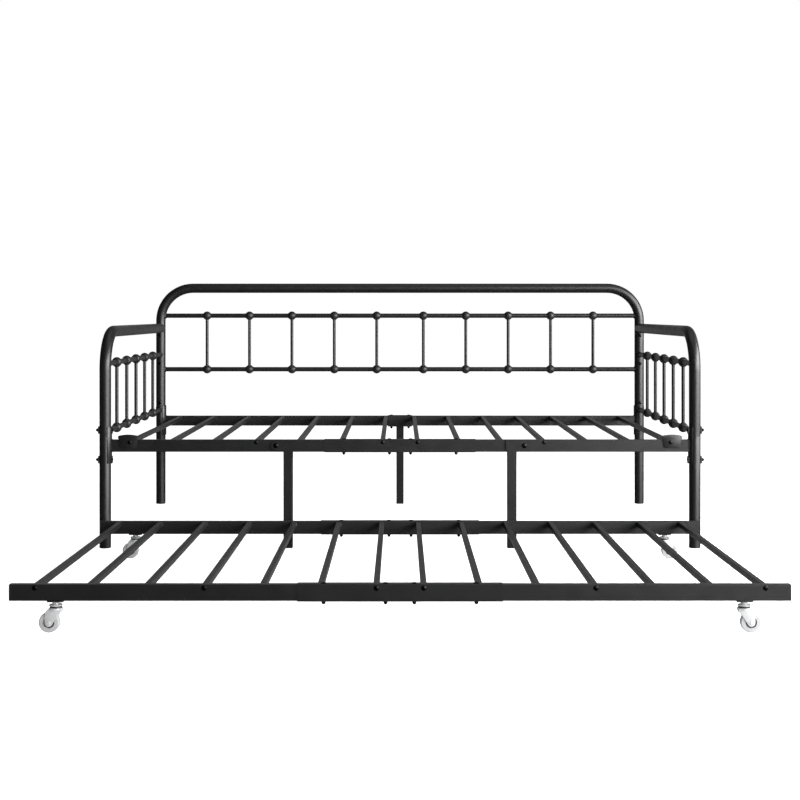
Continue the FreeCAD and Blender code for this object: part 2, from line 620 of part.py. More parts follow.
def trundle():
    """Rolling lower bed: rails, sleeves, slats, end caps, screws and caster fixings."""
    nodes = {"trundle_slats": [], "trundle_end_caps": [], "trundle_joiner_bolts": [],
             "caster_pads": [], "caster_stems": []}
    rail_end = TRUNDLE_HALF_LENGTH - CAP_T
    for word, y in (("front", TRUNDLE_FRONT_Y), ("rear", TRUNDLE_REAR_Y)):
        halves = []
        for side in SIDES:
            holes = screw_points(signed_screw_xs(side, TRUNDLE_SLAT_XS), y, TRUNDLE_TOP)
            rail = half_rail(side, rail_end, y, TRUNDLE_BOTTOM, holes, JOINER_XS)
            stem_at = V(side * CASTER_X, y, TRUNDLE_BOTTOM)
            halves.append(drill(rail, [stem_at], Z_AXIS, STEM_R + 0.3, 10))
            nodes["trundle_end_caps"].append(end_cap(side, y))
            nodes["caster_pads"].append(caster_pad(side * CASTER_X, y))
            nodes["caster_stems"].append(caster_stem(side * CASTER_X, y))
        nodes["trundle_" + word + "_rail"] = halves
        nodes["trundle_" + word + "_sleeve"] = [sleeve(y, TRUNDLE_BOTTOM, TRUNDLE_SLAT_XS)]
        nodes["trundle_joiner_bolts"] += joiner_set(y, TRUNDLE_BOTTOM, JOINER_XS)
    slat_xs = [side * x for side in SIDES for x in TRUNDLE_SLAT_XS]
    nodes["trundle_slats"] = slats(slat_xs, TRUNDLE_FRONT_Y, TRUNDLE_REAR_Y, TRUNDLE_TOP, True)
    nodes["trundle_slat_screws"] = slat_screws(TRUNDLE_SLAT_XS, TRUNDLE_FRONT_Y, TRUNDLE_REAR_Y, TRUNDLE_TOP,
                                               (SLEEVE_PROUD, 0, 0), (SLEEVE_PROUD, 0, 0))
    return nodes


def end_cap(side, y):
    """Plastic plug that closes a trundle rail's outer end."""
    x_face = side * (TRUNDLE_HALF_LENGTH - CAP_T)
    x0, x1 = sorted((x_face, side * TRUNDLE_HALF_LENGTH))
    plate = block(x0, x1, y - RAIL_D / 2, y + RAIL_D / 2, TRUNDLE_BOTTOM, TRUNDLE_TOP)
    plate = round_long_edges(plate, "x", 3.0)
    gap = TUBE_WALL + FIT
    p0, p1 = sorted((x_face, x_face - side * 14))
    plug = block(p0, p1, y - RAIL_D / 2 + gap, y + RAIL_D / 2 - gap, TRUNDLE_BOTTOM + gap, TRUNDLE_TOP - gap)
    return plate.fuse(plug).removeSplitter()


def caster_pad(x, y):
    """Flat mounting pad under the rail."""
    pad = block(x - 20, x + 20, y - 12, y + 12, TRUNDLE_BOTTOM - 3, TRUNDLE_BOTTOM)
    pad = round_long_edges(pad, "z", 3.0)
    return drill(pad, [V(x, y, TRUNDLE_BOTTOM)], Z_AXIS, STEM_R + 0.3, 20)


def caster_stem(x, y):
    """Fixed stem: threaded end in the rail, shoulder, bearing race and a pin for the fork."""
    race_mid = RACE_TOP - 2.0
    shape = rod(V(x, y, CROWN_BOTTOM - 1.5), Z_AXIS, STEM_R, 97 - CROWN_BOTTOM)
    shape = shape.fuse(rod(V(x, y, RACE_TOP), Z_AXIS, 8.0, TRUNDLE_BOTTOM - 3 - SEAM - RACE_TOP))
    shape = shape.fuse(rod(V(x, y, race_mid), Z_AXIS, CROWN_R, RACE_TOP - race_mid))
    shape = shape.fuse(rod(V(x, y, RACE_BOTTOM), Z_AXIS, 14.5, race_mid - RACE_BOTTOM))
    shape = shape.fuse(rod(V(x, y, CROWN_BOTTOM - 1.5), Z_AXIS, 7.0, 1.2))
    return shape.removeSplitter()


def caster(side, y, word):
    """Swivelling fork, its axle and the wheel, trailing outwards."""
    x = side * CASTER_X
    axle_x = side * (CASTER_X + CASTER_TRAIL)
    crown = rod(V(x, y, CROWN_BOTTOM), Z_AXIS, CROWN_R, CROWN_TOP - CROWN_BOTTOM)
    fork = crown
    for face in SIDES:
        y0 = y + face * CHEEK_INNER
        y1 = y0 + face * CHEEK_T
        low_y = min(y0, y1)

        def at(dx, z):
            return V(x + side * dx, low_y, z)

        outline = [at(-15.5, CROWN_TOP - 1), at(-13, 49), at(-9.5, 46), at(6, 29), at(8, 21), at(12, 16.5),
                   at(19, 16.5), at(23, 20.5), at(24.5, 27), at(22.5, 52), at(15, CROWN_TOP - 1)]
        cheek = Part.Face(Part.makePolygon(outline + outline[:1])).extrude(V(0, CHEEK_T, 0))
        cheek = round_long_edges(cheek, "y", 1.2)
        fork = fork.fuse(cheek)
    lip = block(-15.8, -13.8, -CHEEK_INNER, CHEEK_INNER, 50, CROWN_TOP - 1)
    if side < 0:
        lip = block(13.8, 15.8, -CHEEK_INNER, CHEEK_INNER, 50, CROWN_TOP - 1)
    lip.translate(V(x, y, 0))
    fork = fork.fuse(lip).removeSplitter()
    fork = fork.cut(rod(V(x, y, CROWN_BOTTOM - 5), Z_AXIS, STEM_R + RUNNING, 20))
    fork = drill(fork, [V(axle_x, y, WHEEL_R)], Y_AXIS, AXLE_R + SEAM, 60)
    half_grip = CHEEK_INNER + CHEEK_T
    halves = []
    for face in SIDES:
        seat = V(axle_x, y + face * half_grip, WHEEL_R)
        halves.append(bolt(seat, Y_AXIS * face, half_grip, RIVET_R, RIVET_H, AXLE_R))
    axle = halves[0].fuse(halves[1]).removeSplitter()
    return {"caster_" + word + "_fork": [fork], "caster_" + word + "_axle": [axle],
            "caster_" + word + "_wheel": [wheel(axle_x, y)]}


def wheel(x, y):
    """Wheel with a rounded tread, a recessed web and a bored hub, turned about its axle."""
    half = WHEEL_W / 2
    bore = AXLE_R + RUNNING
    profile = [(bore, -half - 0.8), (6.5, -half - 0.8), (6.5, -4.5), (WEB_R, -4.5), (WEB_R, -half),
               (WHEEL_R - 2.5, -half), (WHEEL_R, -half + 3.5), (WHEEL_R, half - 3.5),
               (WHEEL_R - 2.5, half), (WEB_R, half), (WEB_R, 4.5), (6.5, 4.5), (6.5, half + 0.8),
               (bore, half + 0.8)]
    points = [V(x + r, y + dy, WHEEL_R) for r, dy in profile]
    face = Part.Face(Part.makePolygon(points + points[:1]))
    return face.revolve(V(x, y, WHEEL_R), Y_AXIS, 360)


def all_nodes():
    """Every named node with its list of solids."""
    nodes = {}
    for group in (back_panel(), arms(), front_legs(), deck(), mattress_guards(), post_hardware(),
                  folding_leg(-1, "left"), folding_leg(1, "right"), trundle()):
        nodes.update(group)
    for side, side_word in zip(SIDES, ("left", "right")):
        for y, end_word in ((TRUNDLE_FRONT_Y, "front"), (TRUNDLE_REAR_Y, "rear")):
            nodes.update(caster(side, y, end_word + "_" + side_word))
    return nodes


def main():
    """Write one STEP file for each node and print what was made."""
    os.makedirs("parts", exist_ok=True)
    for name, solids in sorted(all_nodes().items()):
        pieces = [solid for shape in solids for solid in shape.Solids]
        shape = pieces[0] if len(pieces) == 1 else Part.makeCompound(pieces)
        shape.exportStep("parts/" + name + ".step")
        box = shape.BoundBox
        print("%-30s %3d solids  valid=%s  X %.1f..%.1f  Y %.1f..%.1f  Z %.1f..%.1f" % (
            name, len(pieces), shape.isValid(), box.XMin, box.XMax, box.YMin, box.YMax, box.ZMin, box.ZMax))
    print("front post line Y = %.2f, back post line Y = %.2f" % (FRONT_Y, BACK_Y))


main()
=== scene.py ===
"""Looks of a metal daybed with a pull-out trundle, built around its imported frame.

Metres, +X along the bed, +Y to the back panel, +Z up.
"""

import json
import logging
import math
from collections.abc import Callable, Iterable
from dataclasses import dataclass, field
from enum import Enum

import bmesh
import bpy
from mathutils import Matrix, Vector, noise

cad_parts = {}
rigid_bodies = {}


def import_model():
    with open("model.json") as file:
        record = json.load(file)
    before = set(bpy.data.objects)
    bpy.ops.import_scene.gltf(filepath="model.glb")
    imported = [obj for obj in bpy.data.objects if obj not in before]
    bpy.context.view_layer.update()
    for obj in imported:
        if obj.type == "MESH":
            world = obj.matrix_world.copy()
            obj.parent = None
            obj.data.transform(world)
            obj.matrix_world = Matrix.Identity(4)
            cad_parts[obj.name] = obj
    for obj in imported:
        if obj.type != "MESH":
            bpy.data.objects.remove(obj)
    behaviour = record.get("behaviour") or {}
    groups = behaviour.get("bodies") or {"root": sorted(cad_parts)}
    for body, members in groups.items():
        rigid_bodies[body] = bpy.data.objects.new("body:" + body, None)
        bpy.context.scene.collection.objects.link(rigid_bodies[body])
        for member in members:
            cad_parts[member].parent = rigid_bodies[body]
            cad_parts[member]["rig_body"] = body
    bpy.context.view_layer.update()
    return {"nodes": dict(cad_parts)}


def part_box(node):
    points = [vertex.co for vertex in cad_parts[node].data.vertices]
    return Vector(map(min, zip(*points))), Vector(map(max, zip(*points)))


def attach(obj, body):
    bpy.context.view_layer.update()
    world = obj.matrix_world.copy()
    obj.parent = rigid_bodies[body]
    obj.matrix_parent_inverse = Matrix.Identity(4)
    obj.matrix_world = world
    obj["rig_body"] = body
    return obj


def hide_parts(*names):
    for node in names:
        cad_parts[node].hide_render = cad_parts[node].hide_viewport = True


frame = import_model()

log = logging.getLogger("daybed")
Profile = list[tuple[float, float]]
Socket = bpy.types.NodeSocket
SIDES = (-1, 1)
X_AXIS, Y_AXIS, Z_AXIS = Vector((1, 0, 0)), Vector((0, 1, 0)), Vector((0, 0, 1))
CREASE = math.radians(32)
FULL_TURN = math.tau


class Slot(Enum):
    """Material slots of the record."""

    COAT = "black_powder_coat"
    CAST = "cast_ferrule_paint"
    FASTENER = "black_fastener"
    PLASTIC = "black_plastic"
    ZINC = "zinc_steel"
    WHEEL = "gray_wheel"


class Body(Enum):
    """Bodies that most pieces ride on."""

    DAYBED = "daybed_frame"
    TRUNDLE = "trundle"


# ---------------------------------------------------------------- finishes


class Recipe:
    """Node tree of one finish, with short words for what it is mixed from."""

    def __init__(self, name: str) -> None:
        """Start a material whose patterns lie on Object coordinates.

        Args:
            name: Name of the material.
        """
        self.material = bpy.data.materials.new(name)
        self.material.use_nodes = True
        self.nodes = self.material.node_tree.nodes
        self.links = self.material.node_tree.links
        self.shader = self.nodes["Principled BSDF"]
        self.place = self.nodes.new("ShaderNodeTexCoord").outputs["Object"]

    def set(self, **values: float | tuple[float, ...]) -> None:
        """Set the shader's own sockets, named with underscores for spaces."""
        for name, value in values.items():
            self.shader.inputs[name.replace("_", " ")].default_value = value

    def feed(self, name: str, source: Socket) -> None:
        """Link a pattern to one of the shader's sockets."""
        self.links.new(source, self.shader.inputs[name])

    def stretched(self, factors: tuple[float, float, float]) -> Socket:
        """Object coordinates scaled along each axis, for drawn or brushed grain."""
        node = self.nodes.new("ShaderNodeMapping")
        node.inputs["Scale"].default_value = factors
        self.links.new(self.place, node.inputs["Vector"])
        return node.outputs["Vector"]

    def clouds(self, scale: float, detail: float = 2.0, place: Socket | None = None) -> Socket:
        """Soft noise from 0 to 1.

        Args:
            scale: Features per metre, roughly.
            detail: Octaves of finer noise.
            place: Coordinates to read in place of the plain ones.

        Returns:
            The noise value.
        """
        node = self.nodes.new("ShaderNodeTexNoise")
        node.inputs["Scale"].default_value = scale
        node.inputs["Detail"].default_value = detail
        self.links.new(place or self.place, node.inputs["Vector"])
        return node.outputs["Fac"]

    def cells(self, scale: float) -> Socket:
        """Distance inside small rounded cells."""
        node = self.nodes.new("ShaderNodeTexVoronoi")
        node.inputs["Scale"].default_value = scale
        self.links.new(self.place, node.inputs["Vector"])
        return node.outputs["Distance"]

    def upward(self) -> Socket:
        """How far a face looks up: 1 for a floor-like face, -1 for its underside."""
        normal = self.nodes.new("ShaderNodeNewGeometry").outputs["Normal"]
        split = self.nodes.new("ShaderNodeSeparateXYZ")
        self.links.new(normal, split.inputs[0])
        return split.outputs["Z"]

    def spread(self, source: Socket, low: float, high: float, start: float = 0.3, end: float = 0.7) -> Socket:
        """Carry a value from the range start..end to low..high, smoothly and clamped."""
        node = self.nodes.new("ShaderNodeMapRange")
        node.interpolation_type = "SMOOTHSTEP"
        for name, value in (("From Min", start), ("From Max", end), ("To Min", low), ("To Max", high)):
            node.inputs[name].default_value = value
        self.links.new(source, node.inputs["Value"])
        return node.outputs["Result"]

    def times(self, first: Socket, second: Socket) -> Socket:
        """Product of two values."""
        node = self.nodes.new("ShaderNodeMath")
        node.operation = "MULTIPLY"
        self.links.new(first, node.inputs[0])
        self.links.new(second, node.inputs[1])
        return node.outputs[0]

    def tint(self, share: Socket, base: tuple[float, ...], other: tuple[float, ...]) -> Socket:
        """Colour between two, by a share from 0 to 1."""
        node = self.nodes.new("ShaderNodeMix")
        node.data_type = "RGBA"
        self.links.new(share, node.inputs["Factor"])
        node.inputs["A"].default_value = (*base, 1)
        node.inputs["B"].default_value = (*other, 1)
        return node.outputs["Result"]

    def relief(self, height: Socket, depth: float, strength: float = 1.0,
               under: Socket | None = None) -> Socket:
        """Bump a surface.

        Args:
            height: Pattern from 0 to 1.
            depth: Height of the pattern in metres.
            strength: Share of the bump that is kept.
            under: Normal of a coarser bump that lies beneath.

        Returns:
            The bumped normal.
        """
        node = self.nodes.new("ShaderNodeBump")
        node.inputs["Distance"].default_value = depth
        node.inputs["Strength"].default_value = strength
        self.links.new(height, node.inputs["Height"])
        if under is not None:
            self.links.new(under, node.inputs["Normal"])
        return node.outputs["Normal"]


@dataclass(frozen=True)
class Finish:
    """A finish that any piece can be given, made once and shared."""

    name: str
    color: tuple[float, float, float]
    rough: tuple[float, float]

    def material(self) -> bpy.types.Material:
        """The finish's material, mixed on first use."""
        found = bpy.data.materials.get(self.name)
        return found or self.mix(Recipe(self.name))

    def mix(self, recipe: Recipe) -> bpy.types.Material:
        """Fill the recipe. Each kind of finish does this its own way."""
        raise NotImplementedError


@dataclass(frozen=True)
class PowderCoat(Finish):
    """Baked satin coat on tube: fine orange peel, slow waves of the tube, and upward faces lightened, partly
    by dust and partly as painted top light.
    """

    peel: float = 1500.0
    peel_depth: float = 0.00003
    # Colour of upward faces: partly dust, partly painted light from above.
    dust: tuple[float, float, float] = (0.035, 0.034, 0.032)
    top_light_and_dust_share: float = 0.22

    def mix(self, recipe: Recipe) -> bpy.types.Material:
        """Mix the coat on a recipe and return its material."""
        # Painted top light mixed with dust: faces that look up get the lighter colour, broken up by noise.
        top_light_and_dust_mask = recipe.times(recipe.spread(recipe.upward(), 0, self.top_light_and_dust_share, 0.55, 0.98),
                               recipe.spread(recipe.clouds(38, 4), 0.35, 1.0))
        recipe.feed("Base Color", recipe.tint(top_light_and_dust_mask, self.color, self.dust))
        recipe.feed("Roughness", recipe.spread(recipe.clouds(24, 5), *self.rough))
        waves = recipe.relief(recipe.clouds(16, 1), 0.0009, 0.12)
        recipe.feed("Normal", recipe.relief(recipe.clouds(self.peel, 1), self.peel_depth, 0.6, waves))
        recipe.set(IOR=1.5)
        return recipe.material


@dataclass(frozen=True)
class CastCoat(Finish):
    """Paint over a die casting: thicker and pebbled, with softer shine."""

    pebble: float = 620.0

    def mix(self, recipe: Recipe) -> bpy.types.Material:
        """Mix the coat on a recipe and return its material."""
        mottled = recipe.spread(recipe.clouds(90, 4), 0, 1)
        recipe.feed("Base Color", recipe.tint(mottled, self.color, tuple(1.6 * c for c in self.color)))
        recipe.feed("Roughness", recipe.spread(recipe.clouds(150, 3), *self.rough))
        dimples = recipe.relief(recipe.clouds(170, 2), 0.0004, 0.35)
        recipe.feed("Normal", recipe.relief(recipe.cells(self.pebble), 0.00012, 0.3, dimples))
        recipe.set(IOR=1.5)
        return recipe.material


@dataclass(frozen=True)
class PlatedSteel(Finish):
    """Plated or blackened steel: metal with streaky grain and fine pits."""

    worn: tuple[float, float, float] = (0.3, 0.3, 0.3)
    metal: float = 1.0

    def mix(self, recipe: Recipe) -> bpy.types.Material:
        """Mix the plating on a recipe and return its material."""
        patchy = recipe.spread(recipe.clouds(130, 6), 0, 0.55, 0.45, 0.85)
        recipe.feed("Base Color", recipe.tint(patchy, self.color, self.worn))
        streaks = recipe.clouds(260, 3, recipe.stretched((1, 1, 7)))
        recipe.feed("Roughness", recipe.spread(streaks, *self.rough))
        recipe.feed("Normal", recipe.relief(streaks, 0.00005, 0.35))
        recipe.set(Metallic=self.metal)
        return recipe.material


@dataclass(frozen=True)
class MouldedPlastic(Finish):
    """Injection-moulded plastic with a fine spark-eroded grain and slow colour drift."""

    grain: float = 1800.0
    scuffed: tuple[float, float, float] = (0.05, 0.05, 0.05)

    def mix(self, recipe: Recipe) -> bpy.types.Material:
        """Mix the plastic on a recipe and return its material."""
        scuffs = recipe.spread(recipe.clouds(75, 6), 0, 0.6, 0.5, 0.85)
        recipe.feed("Base Color", recipe.tint(scuffs, self.color, self.scuffed))
        recipe.feed("Roughness", recipe.spread(recipe.clouds(60, 3), *self.rough))
        recipe.feed("Normal", recipe.relief(recipe.clouds(self.grain, 1), 0.00003, 0.5))
        recipe.set(IOR=1.47)
        return recipe.material


@dataclass(frozen=True)
class StudioPaper(Finish):
    """Seamless pale paper under the bed."""

    glow: float = 0.95

    def mix(self, recipe: Recipe) -> bpy.types.Material:
        """Mix the paper on a recipe and return its material."""
        shade = tuple(0.985 * c for c in self.color)
        recipe.feed("Base Color", recipe.tint(recipe.clouds(3, 3), self.color, shade))
        recipe.set(Roughness=self.rough[0], Emission_Color=(1, 1, 1, 1), Emission_Strength=self.glow)
        return recipe.material


SATIN_COAT = PowderCoat("satin_black_powder_coat", (0.0042, 0.0042, 0.0045), (0.4, 0.46))
WELD_COAT = PowderCoat("coated_weld_bead", (0.0045, 0.0045, 0.0048), (0.44, 0.54),
                       peel=900, peel_depth=0.00006)
CAST_COAT = CastCoat("cast_ferrule_coat", (0.006, 0.006, 0.0063), (0.46, 0.56))
BLACK_STEEL = PlatedSteel("blackened_fastener_steel", (0.012, 0.012, 0.0122), (0.3, 0.44),
                          worn=(0.035, 0.035, 0.035))
ZINC = PlatedSteel("bright_zinc_plate", (0.43, 0.433, 0.437), (0.3, 0.45),
                   worn=(0.34, 0.343, 0.35), metal=0.3)
BLACK_PLASTIC = MouldedPlastic("black_moulded_plastic", (0.012, 0.012, 0.013), (0.42, 0.55))
GRAY_TREAD = MouldedPlastic("gray_wheel_tread", (0.275, 0.277, 0.28), (0.38, 0.5),
                            scuffed=(0.22, 0.22, 0.22))
DARK_CORE = MouldedPlastic("dark_wheel_core", (0.045, 0.046, 0.05), (0.4, 0.5), scuffed=(0.08, 0.08, 0.08))
PAPER = StudioPaper("studio_paper", (0.88, 0.88, 0.88), (0.9, 0.9))


# ---------------------------------------------------------------- mesh work


def arc(center: tuple[float, float], radius: float, start: float, end: float, steps: int) -> Profile:
    """Points on an arc of a profile.

    Args:
        center: Centre of the arc.
        radius: Its radius.
        start: First angle, in degrees from the profile's first axis.
        end: Last angle.
        steps: Number of chords.

    Returns:
        The points, both ends included.
    """
    points = []
    for i in range(steps + 1):
        turn = math.radians(start + (end - start) * i / steps)
        points.append((center[0] + radius * math.cos(turn), center[1] + radius * math.sin(turn)))
    return points


def seated(origin: Vector | tuple[float, ...], up: Vector, across: Vector | None = None) -> Matrix:
    """Matrix that seats a shape.

    Args:
        origin: Where the shape's own origin goes.
        up: Direction of the shape's own Z.
        across: Direction of its own X, if that matters.

    Returns:
        The placing matrix.
    """
    up = up.normalized()
    across = (across or (Y_AXIS if abs(up.y) < 0.5 else X_AXIS)).normalized()
    turn = Matrix((across, up.cross(across), up)).transposed().to_4x4()
    return Matrix.Translation(origin) @ turn


class Solid:
    """One closed mesh about its own origin, ready to be stamped into a piece."""

    def __init__(self) -> None:
        """Start with an empty mesh."""
        self.mesh = bmesh.new()

    @classmethod
    def turned(cls, profile: Profile, segments: int = 24, ring: bool = False,
               turn: float = FULL_TURN) -> "Solid":
        """Spin a profile about local Z.

        Args:
            profile: Points as (radius, height).
            segments: Steps of the spin.
            ring: Whether the profile closes on itself, clear of the axis.
            turn: Angle of the spin, in radians.

        Returns:
            The turned solid.
        """
        made = cls()
        verts = [made.mesh.verts.new((r, 0, h)) for r, h in profile]
        edges = [made.mesh.edges.new(pair) for pair in zip(verts, verts[1:])]
        if ring:
            edges.append(made.mesh.edges.new((verts[-1], verts[0])))
        full = math.isclose(turn, FULL_TURN)
        bmesh.ops.spin(made.mesh, geom=verts + edges, cent=(0, 0, 0), axis=(0, 0, 1), angle=turn,
                       steps=segments, use_merge=full)
        return made.closed()

    @classmethod
    def boxed(cls, low: Iterable[float], high: Iterable[float], bevel: float = 0.0,
              segments: int = 2) -> "Solid":
        """Box between two corners, with all its edges rounded by bevel."""
        made = cls()
        low, high = Vector(low), Vector(high)
        bmesh.ops.create_cube(made.mesh, size=1.0)
        bmesh.ops.scale(made.mesh, vec=high - low, verts=made.mesh.verts)
        bmesh.ops.translate(made.mesh, vec=(low + high) / 2, verts=made.mesh.verts)
        return made.rounded(bevel, segments) if bevel else made

    @classmethod
    def hexagon(cls, flats: float, low: float, high: float, bevel: float) -> "Solid":
        """Upright hexagon bar between two heights, with its edges rounded by bevel."""
        made = cls()
        corner_r = flats / math.sqrt(3)
        bmesh.ops.create_cone(made.mesh, cap_ends=True, segments=6, radius1=corner_r, radius2=corner_r,
                              depth=high - low)
        bmesh.ops.translate(made.mesh, vec=(0, 0, (low + high) / 2), verts=made.mesh.verts)
        return made.rounded(bevel, 2)

    @classmethod
    def plate(cls, outline: Profile, thick: float, bevel: float = 0.0, segments: int = 2) -> "Solid":
        """Flat plate whose outline lies in local XZ and whose thickness runs along local Y.

        Args:
            outline: Corner points as (x, z), in order round the plate.
            thick: Thickness, from Y 0 to Y thick.
            bevel: Rounding of the rims.
            segments: Steps of that rounding.

        Returns:
            The plate.
        """
        made = cls()
        face = made.mesh.faces.new([made.mesh.verts.new((x, 0, z)) for x, z in outline])
        grown = bmesh.ops.extrude_face_region(made.mesh, geom=[face])["geom"]
        moved = [item for item in grown if isinstance(item, bmesh.types.BMVert)]
        bmesh.ops.translate(made.mesh, vec=(0, thick, 0), verts=moved)
        made.closed()
        if bevel:
            rims = [e for e in made.mesh.edges if abs(e.verts[0].co.y - e.verts[1].co.y) < thick / 2]
            made.rounded(bevel, segments, rims)
        return made

    @classmethod
    def joined(cls, *parts: "Solid | tuple[Solid, Matrix]") -> "Solid":
        """Several solids, each placed by its own matrix if it has one, as one stamp."""
        made = cls()
        for part in parts:
            solid, place = part if isinstance(part, tuple) else (part, Matrix())
            solid.stamp_into(made.mesh, [place])
        return made

    def closed(self) -> "Solid":
        """Merge doubles at the poles, fill open ends and point the faces outwards."""
        bmesh.ops.remove_doubles(self.mesh, verts=self.mesh.verts, dist=1e-7)
        open_edges = [edge for edge in self.mesh.edges if edge.is_boundary]
        if open_edges:
            bmesh.ops.holes_fill(self.mesh, edges=open_edges, sides=0)
        bmesh.ops.recalc_face_normals(self.mesh, faces=self.mesh.faces)
        return self

    def rounded(self, width: float, segments: int = 2,
                edges: list[bmesh.types.BMEdge] | None = None) -> "Solid":
        """Bevel the named edges, or every crease."""
        if edges is None:
            edges = [e for e in self.mesh.edges if e.is_manifold and e.calc_face_angle() > CREASE]
        bmesh.ops.bevel(self.mesh, geom=edges, offset=width, offset_type="OFFSET", segments=segments,
                        profile=0.5, affect="EDGES", material=-1, clamp_overlap=True)
        return self

    def shaped(self, change: Callable[[Vector], Vector]) -> "Solid":
        """Move every vertex by a rule, as a file or a press would."""
        for vert in self.mesh.verts:
            vert.co = change(vert.co)
        bmesh.ops.recalc_face_normals(self.mesh, faces=self.mesh.faces)
        return self

    def stamp_into(self, target: bmesh.types.BMesh, places: Iterable[Matrix]) -> None:
        """Copy this solid into a bigger mesh at each place."""
        stamp = bpy.data.meshes.new("stamp")
        self.mesh.to_mesh(stamp)
        for place in places:
            copy = stamp.copy()
            copy.transform(place)
            if place.determinant() < 0:
                copy.flip_normals()
            target.from_mesh(copy)
            bpy.data.meshes.remove(copy)
        bpy.data.meshes.remove(stamp)


class Piece:
    """A named piece that is filled with solids, then dressed and put on its body."""

    def __init__(self, name: str) -> None:
        """Start an empty piece of that name."""
        self.name = name
        self.mesh = bmesh.new()

    def add(self, solid: Solid, *places: Matrix) -> "Piece":
        """Stamp a solid at each place, or once where it is."""
        solid.stamp_into(self.mesh, places or [Matrix()])
        return self

    def put(self, finish: Finish, slot: Slot, body: str, *stands_for: str) -> bpy.types.Object:
        """Turn the piece into an object.

        Args:
            finish: What it is dressed in.
            slot: The record's material slot; not used.
            body: Body it rides on.
            stands_for: CAD nodes that it replaces.

        Returns:
            The finished object.
        """
        for face in self.mesh.faces:
            face.smooth = True
        for edge in self.mesh.edges:
            edge.smooth = not (edge.is_manifold and edge.calc_face_angle() > CREASE)
        data = bpy.data.meshes.new(self.name)
        self.mesh.to_mesh(data)
        self.mesh.free()
        data.materials.append(finish.material())
        made = bpy.data.objects.new(self.name, data)
        bpy.context.scene.collection.objects.link(made)
        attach(made, body)
        if stands_for:
            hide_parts(*stands_for)
        log.info("%s: %d faces on %s", self.name, len(data.polygons), body)
        return made


def dress(finish: Finish, *nodes: str) -> None:
    """Give CAD nodes that stay a finish."""
    for node in nodes:
        for place in frame["nodes"][node].material_slots:
            place.material = finish.material()
        log.info("%s: dressed in %s", node, finish.name)


def bend_inset(bend_r: float, crown: float, height: float) -> float:
    """How far a bent post's centre line has turned in at a height below its level run."""
    above = height - (crown - bend_r)
    return bend_r - math.sqrt(bend_r ** 2 - above ** 2) if above > 0 else 0.0


def body_of_node(node: str) -> str:
    """Name of the body that a CAD node rides on."""
    return frame["nodes"][node]["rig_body"]


def middle(node: str) -> Vector:
    """Centre of a CAD node's box."""
    low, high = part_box(node)
    return (low + high) / 2


# ---------------------------------------------------------------- shared small shapes


def weld_bead(length: float, radius: float, ripple: float = 0.0022) -> Solid:
    """Straight fillet weld along local Z, centred, with rounded ends and stacked ripples."""
    steps = max(6, round(2 * length / ripple))
    profile = [(0.0, -length / 2)]
    for i in range(1, steps):
        along = i / steps
        crest = 0.88 + 0.12 * math.cos(math.tau * i / 2)
        taper = min(1.0, 6 * min(along, 1 - along)) ** 0.5
        profile.append((radius * crest * taper, length * (along - 0.5)))
    profile.append((0.0, length / 2))
    return Solid.turned(profile, 8)


def weld_ring(tube_r: float, bead_r: float, post_r: float = 0.0, segments: int = 44) -> Solid:
    """Fillet weld round the end of a tube that runs along local Z.

    Args:
        tube_r: Radius of the tube.
        bead_r: Radius of the bead.
        post_r: Radius of the post that it is welded to, whose own axis is local Y; 0 for a flat face.
        segments: Steps round the tube.

    Returns:
        The rippled ring, measured from the post's axis.
    """
    ring = Solid.turned(arc((tube_r, 0), bead_r, 0, 315, 7), segments, ring=True)

    def lay(point: Vector) -> Vector:
        """Push the ring against the post and ripple it."""
        around = math.atan2(point.y, point.x)
        swell = 1 + 0.10 * math.sin(around * segments / 4) + 0.10 * noise.noise(point * 260)
        flat = Vector((point.x, point.y, 0))
        middle_line = flat.normalized() * tube_r
        out = middle_line + (point - middle_line) * swell
        if post_r:
            out.z += math.sqrt(max(post_r ** 2 - out.x ** 2, 0))
        return out

    return ring.shaped(lay)


def socket_head(radius: float, height: float, key: float, segments: int = 24) -> Solid:
    """Domed bolt head, seat at local Z 0, with a hexagon socket.

    Args:
        radius: Radius of the head.
        height: Height of the dome.
        key: Size of the socket across its flats.
        segments: Steps round the head, a multiple of 6.

    Returns:
        The head.
    """
    rim = key * 0.62
    ball = (radius ** 2 + height ** 2) / (2 * height)
    profile = [(0.0, 0.0), (radius * 0.97, 0.0), (radius, height * 0.1)]
    for i in range(1, 6):
        r = radius + (rim - radius) * i / 5
        profile.append((r, math.sqrt(ball ** 2 - r ** 2) - (ball - height)))
    made = Solid()
    verts = [made.mesh.verts.new((r, 0, h)) for r, h in profile]
    edges = [made.mesh.edges.new(pair) for pair in zip(verts, verts[1:])]
    bmesh.ops.spin(made.mesh, geom=verts + edges, cent=(0, 0, 0), axis=(0, 0, 1), angle=FULL_TURN,
                   steps=segments, use_merge=True)
    bmesh.ops.remove_doubles(made.mesh, verts=made.mesh.verts, dist=1e-7)
    for drop, wall in ((height * 0.06, 1.0), (height * 0.8, 0.96)):
        loop = [edge for edge in made.mesh.edges if edge.is_boundary]
        grown = bmesh.ops.extrude_edge_only(made.mesh, edges=loop)["geom"]
        for vert in (item for item in grown if isinstance(item, bmesh.types.BMVert)):
            around = math.atan2(vert.co.y, vert.co.x)
            sector = (around % (math.pi / 3)) - math.pi / 6
            reach = wall * key / 2 / math.cos(sector)
            vert.co = Vector((reach * math.cos(around), reach * math.sin(around), height - drop))
    return made.closed()


@dataclass(frozen=True)
class BoltSize:
    """Size of a socket-headed bolt or screw."""

    head_r: float
    head_h: float
    key: float
    shank_r: float = 0.003

    def solid(self, grip: float) -> Solid:
        """One bolt, seat at local Z 0, whose shank ends at grip below it."""
        shank_r = self.shank_r
        shank = Solid.turned([(0, 0.0002), (shank_r, 0.0002), (shank_r, -grip + 0.0006),
                              (shank_r * 0.8, -grip), (0, -grip)], 12)
        return Solid.joined(socket_head(self.head_r, self.head_h, self.key), shank)


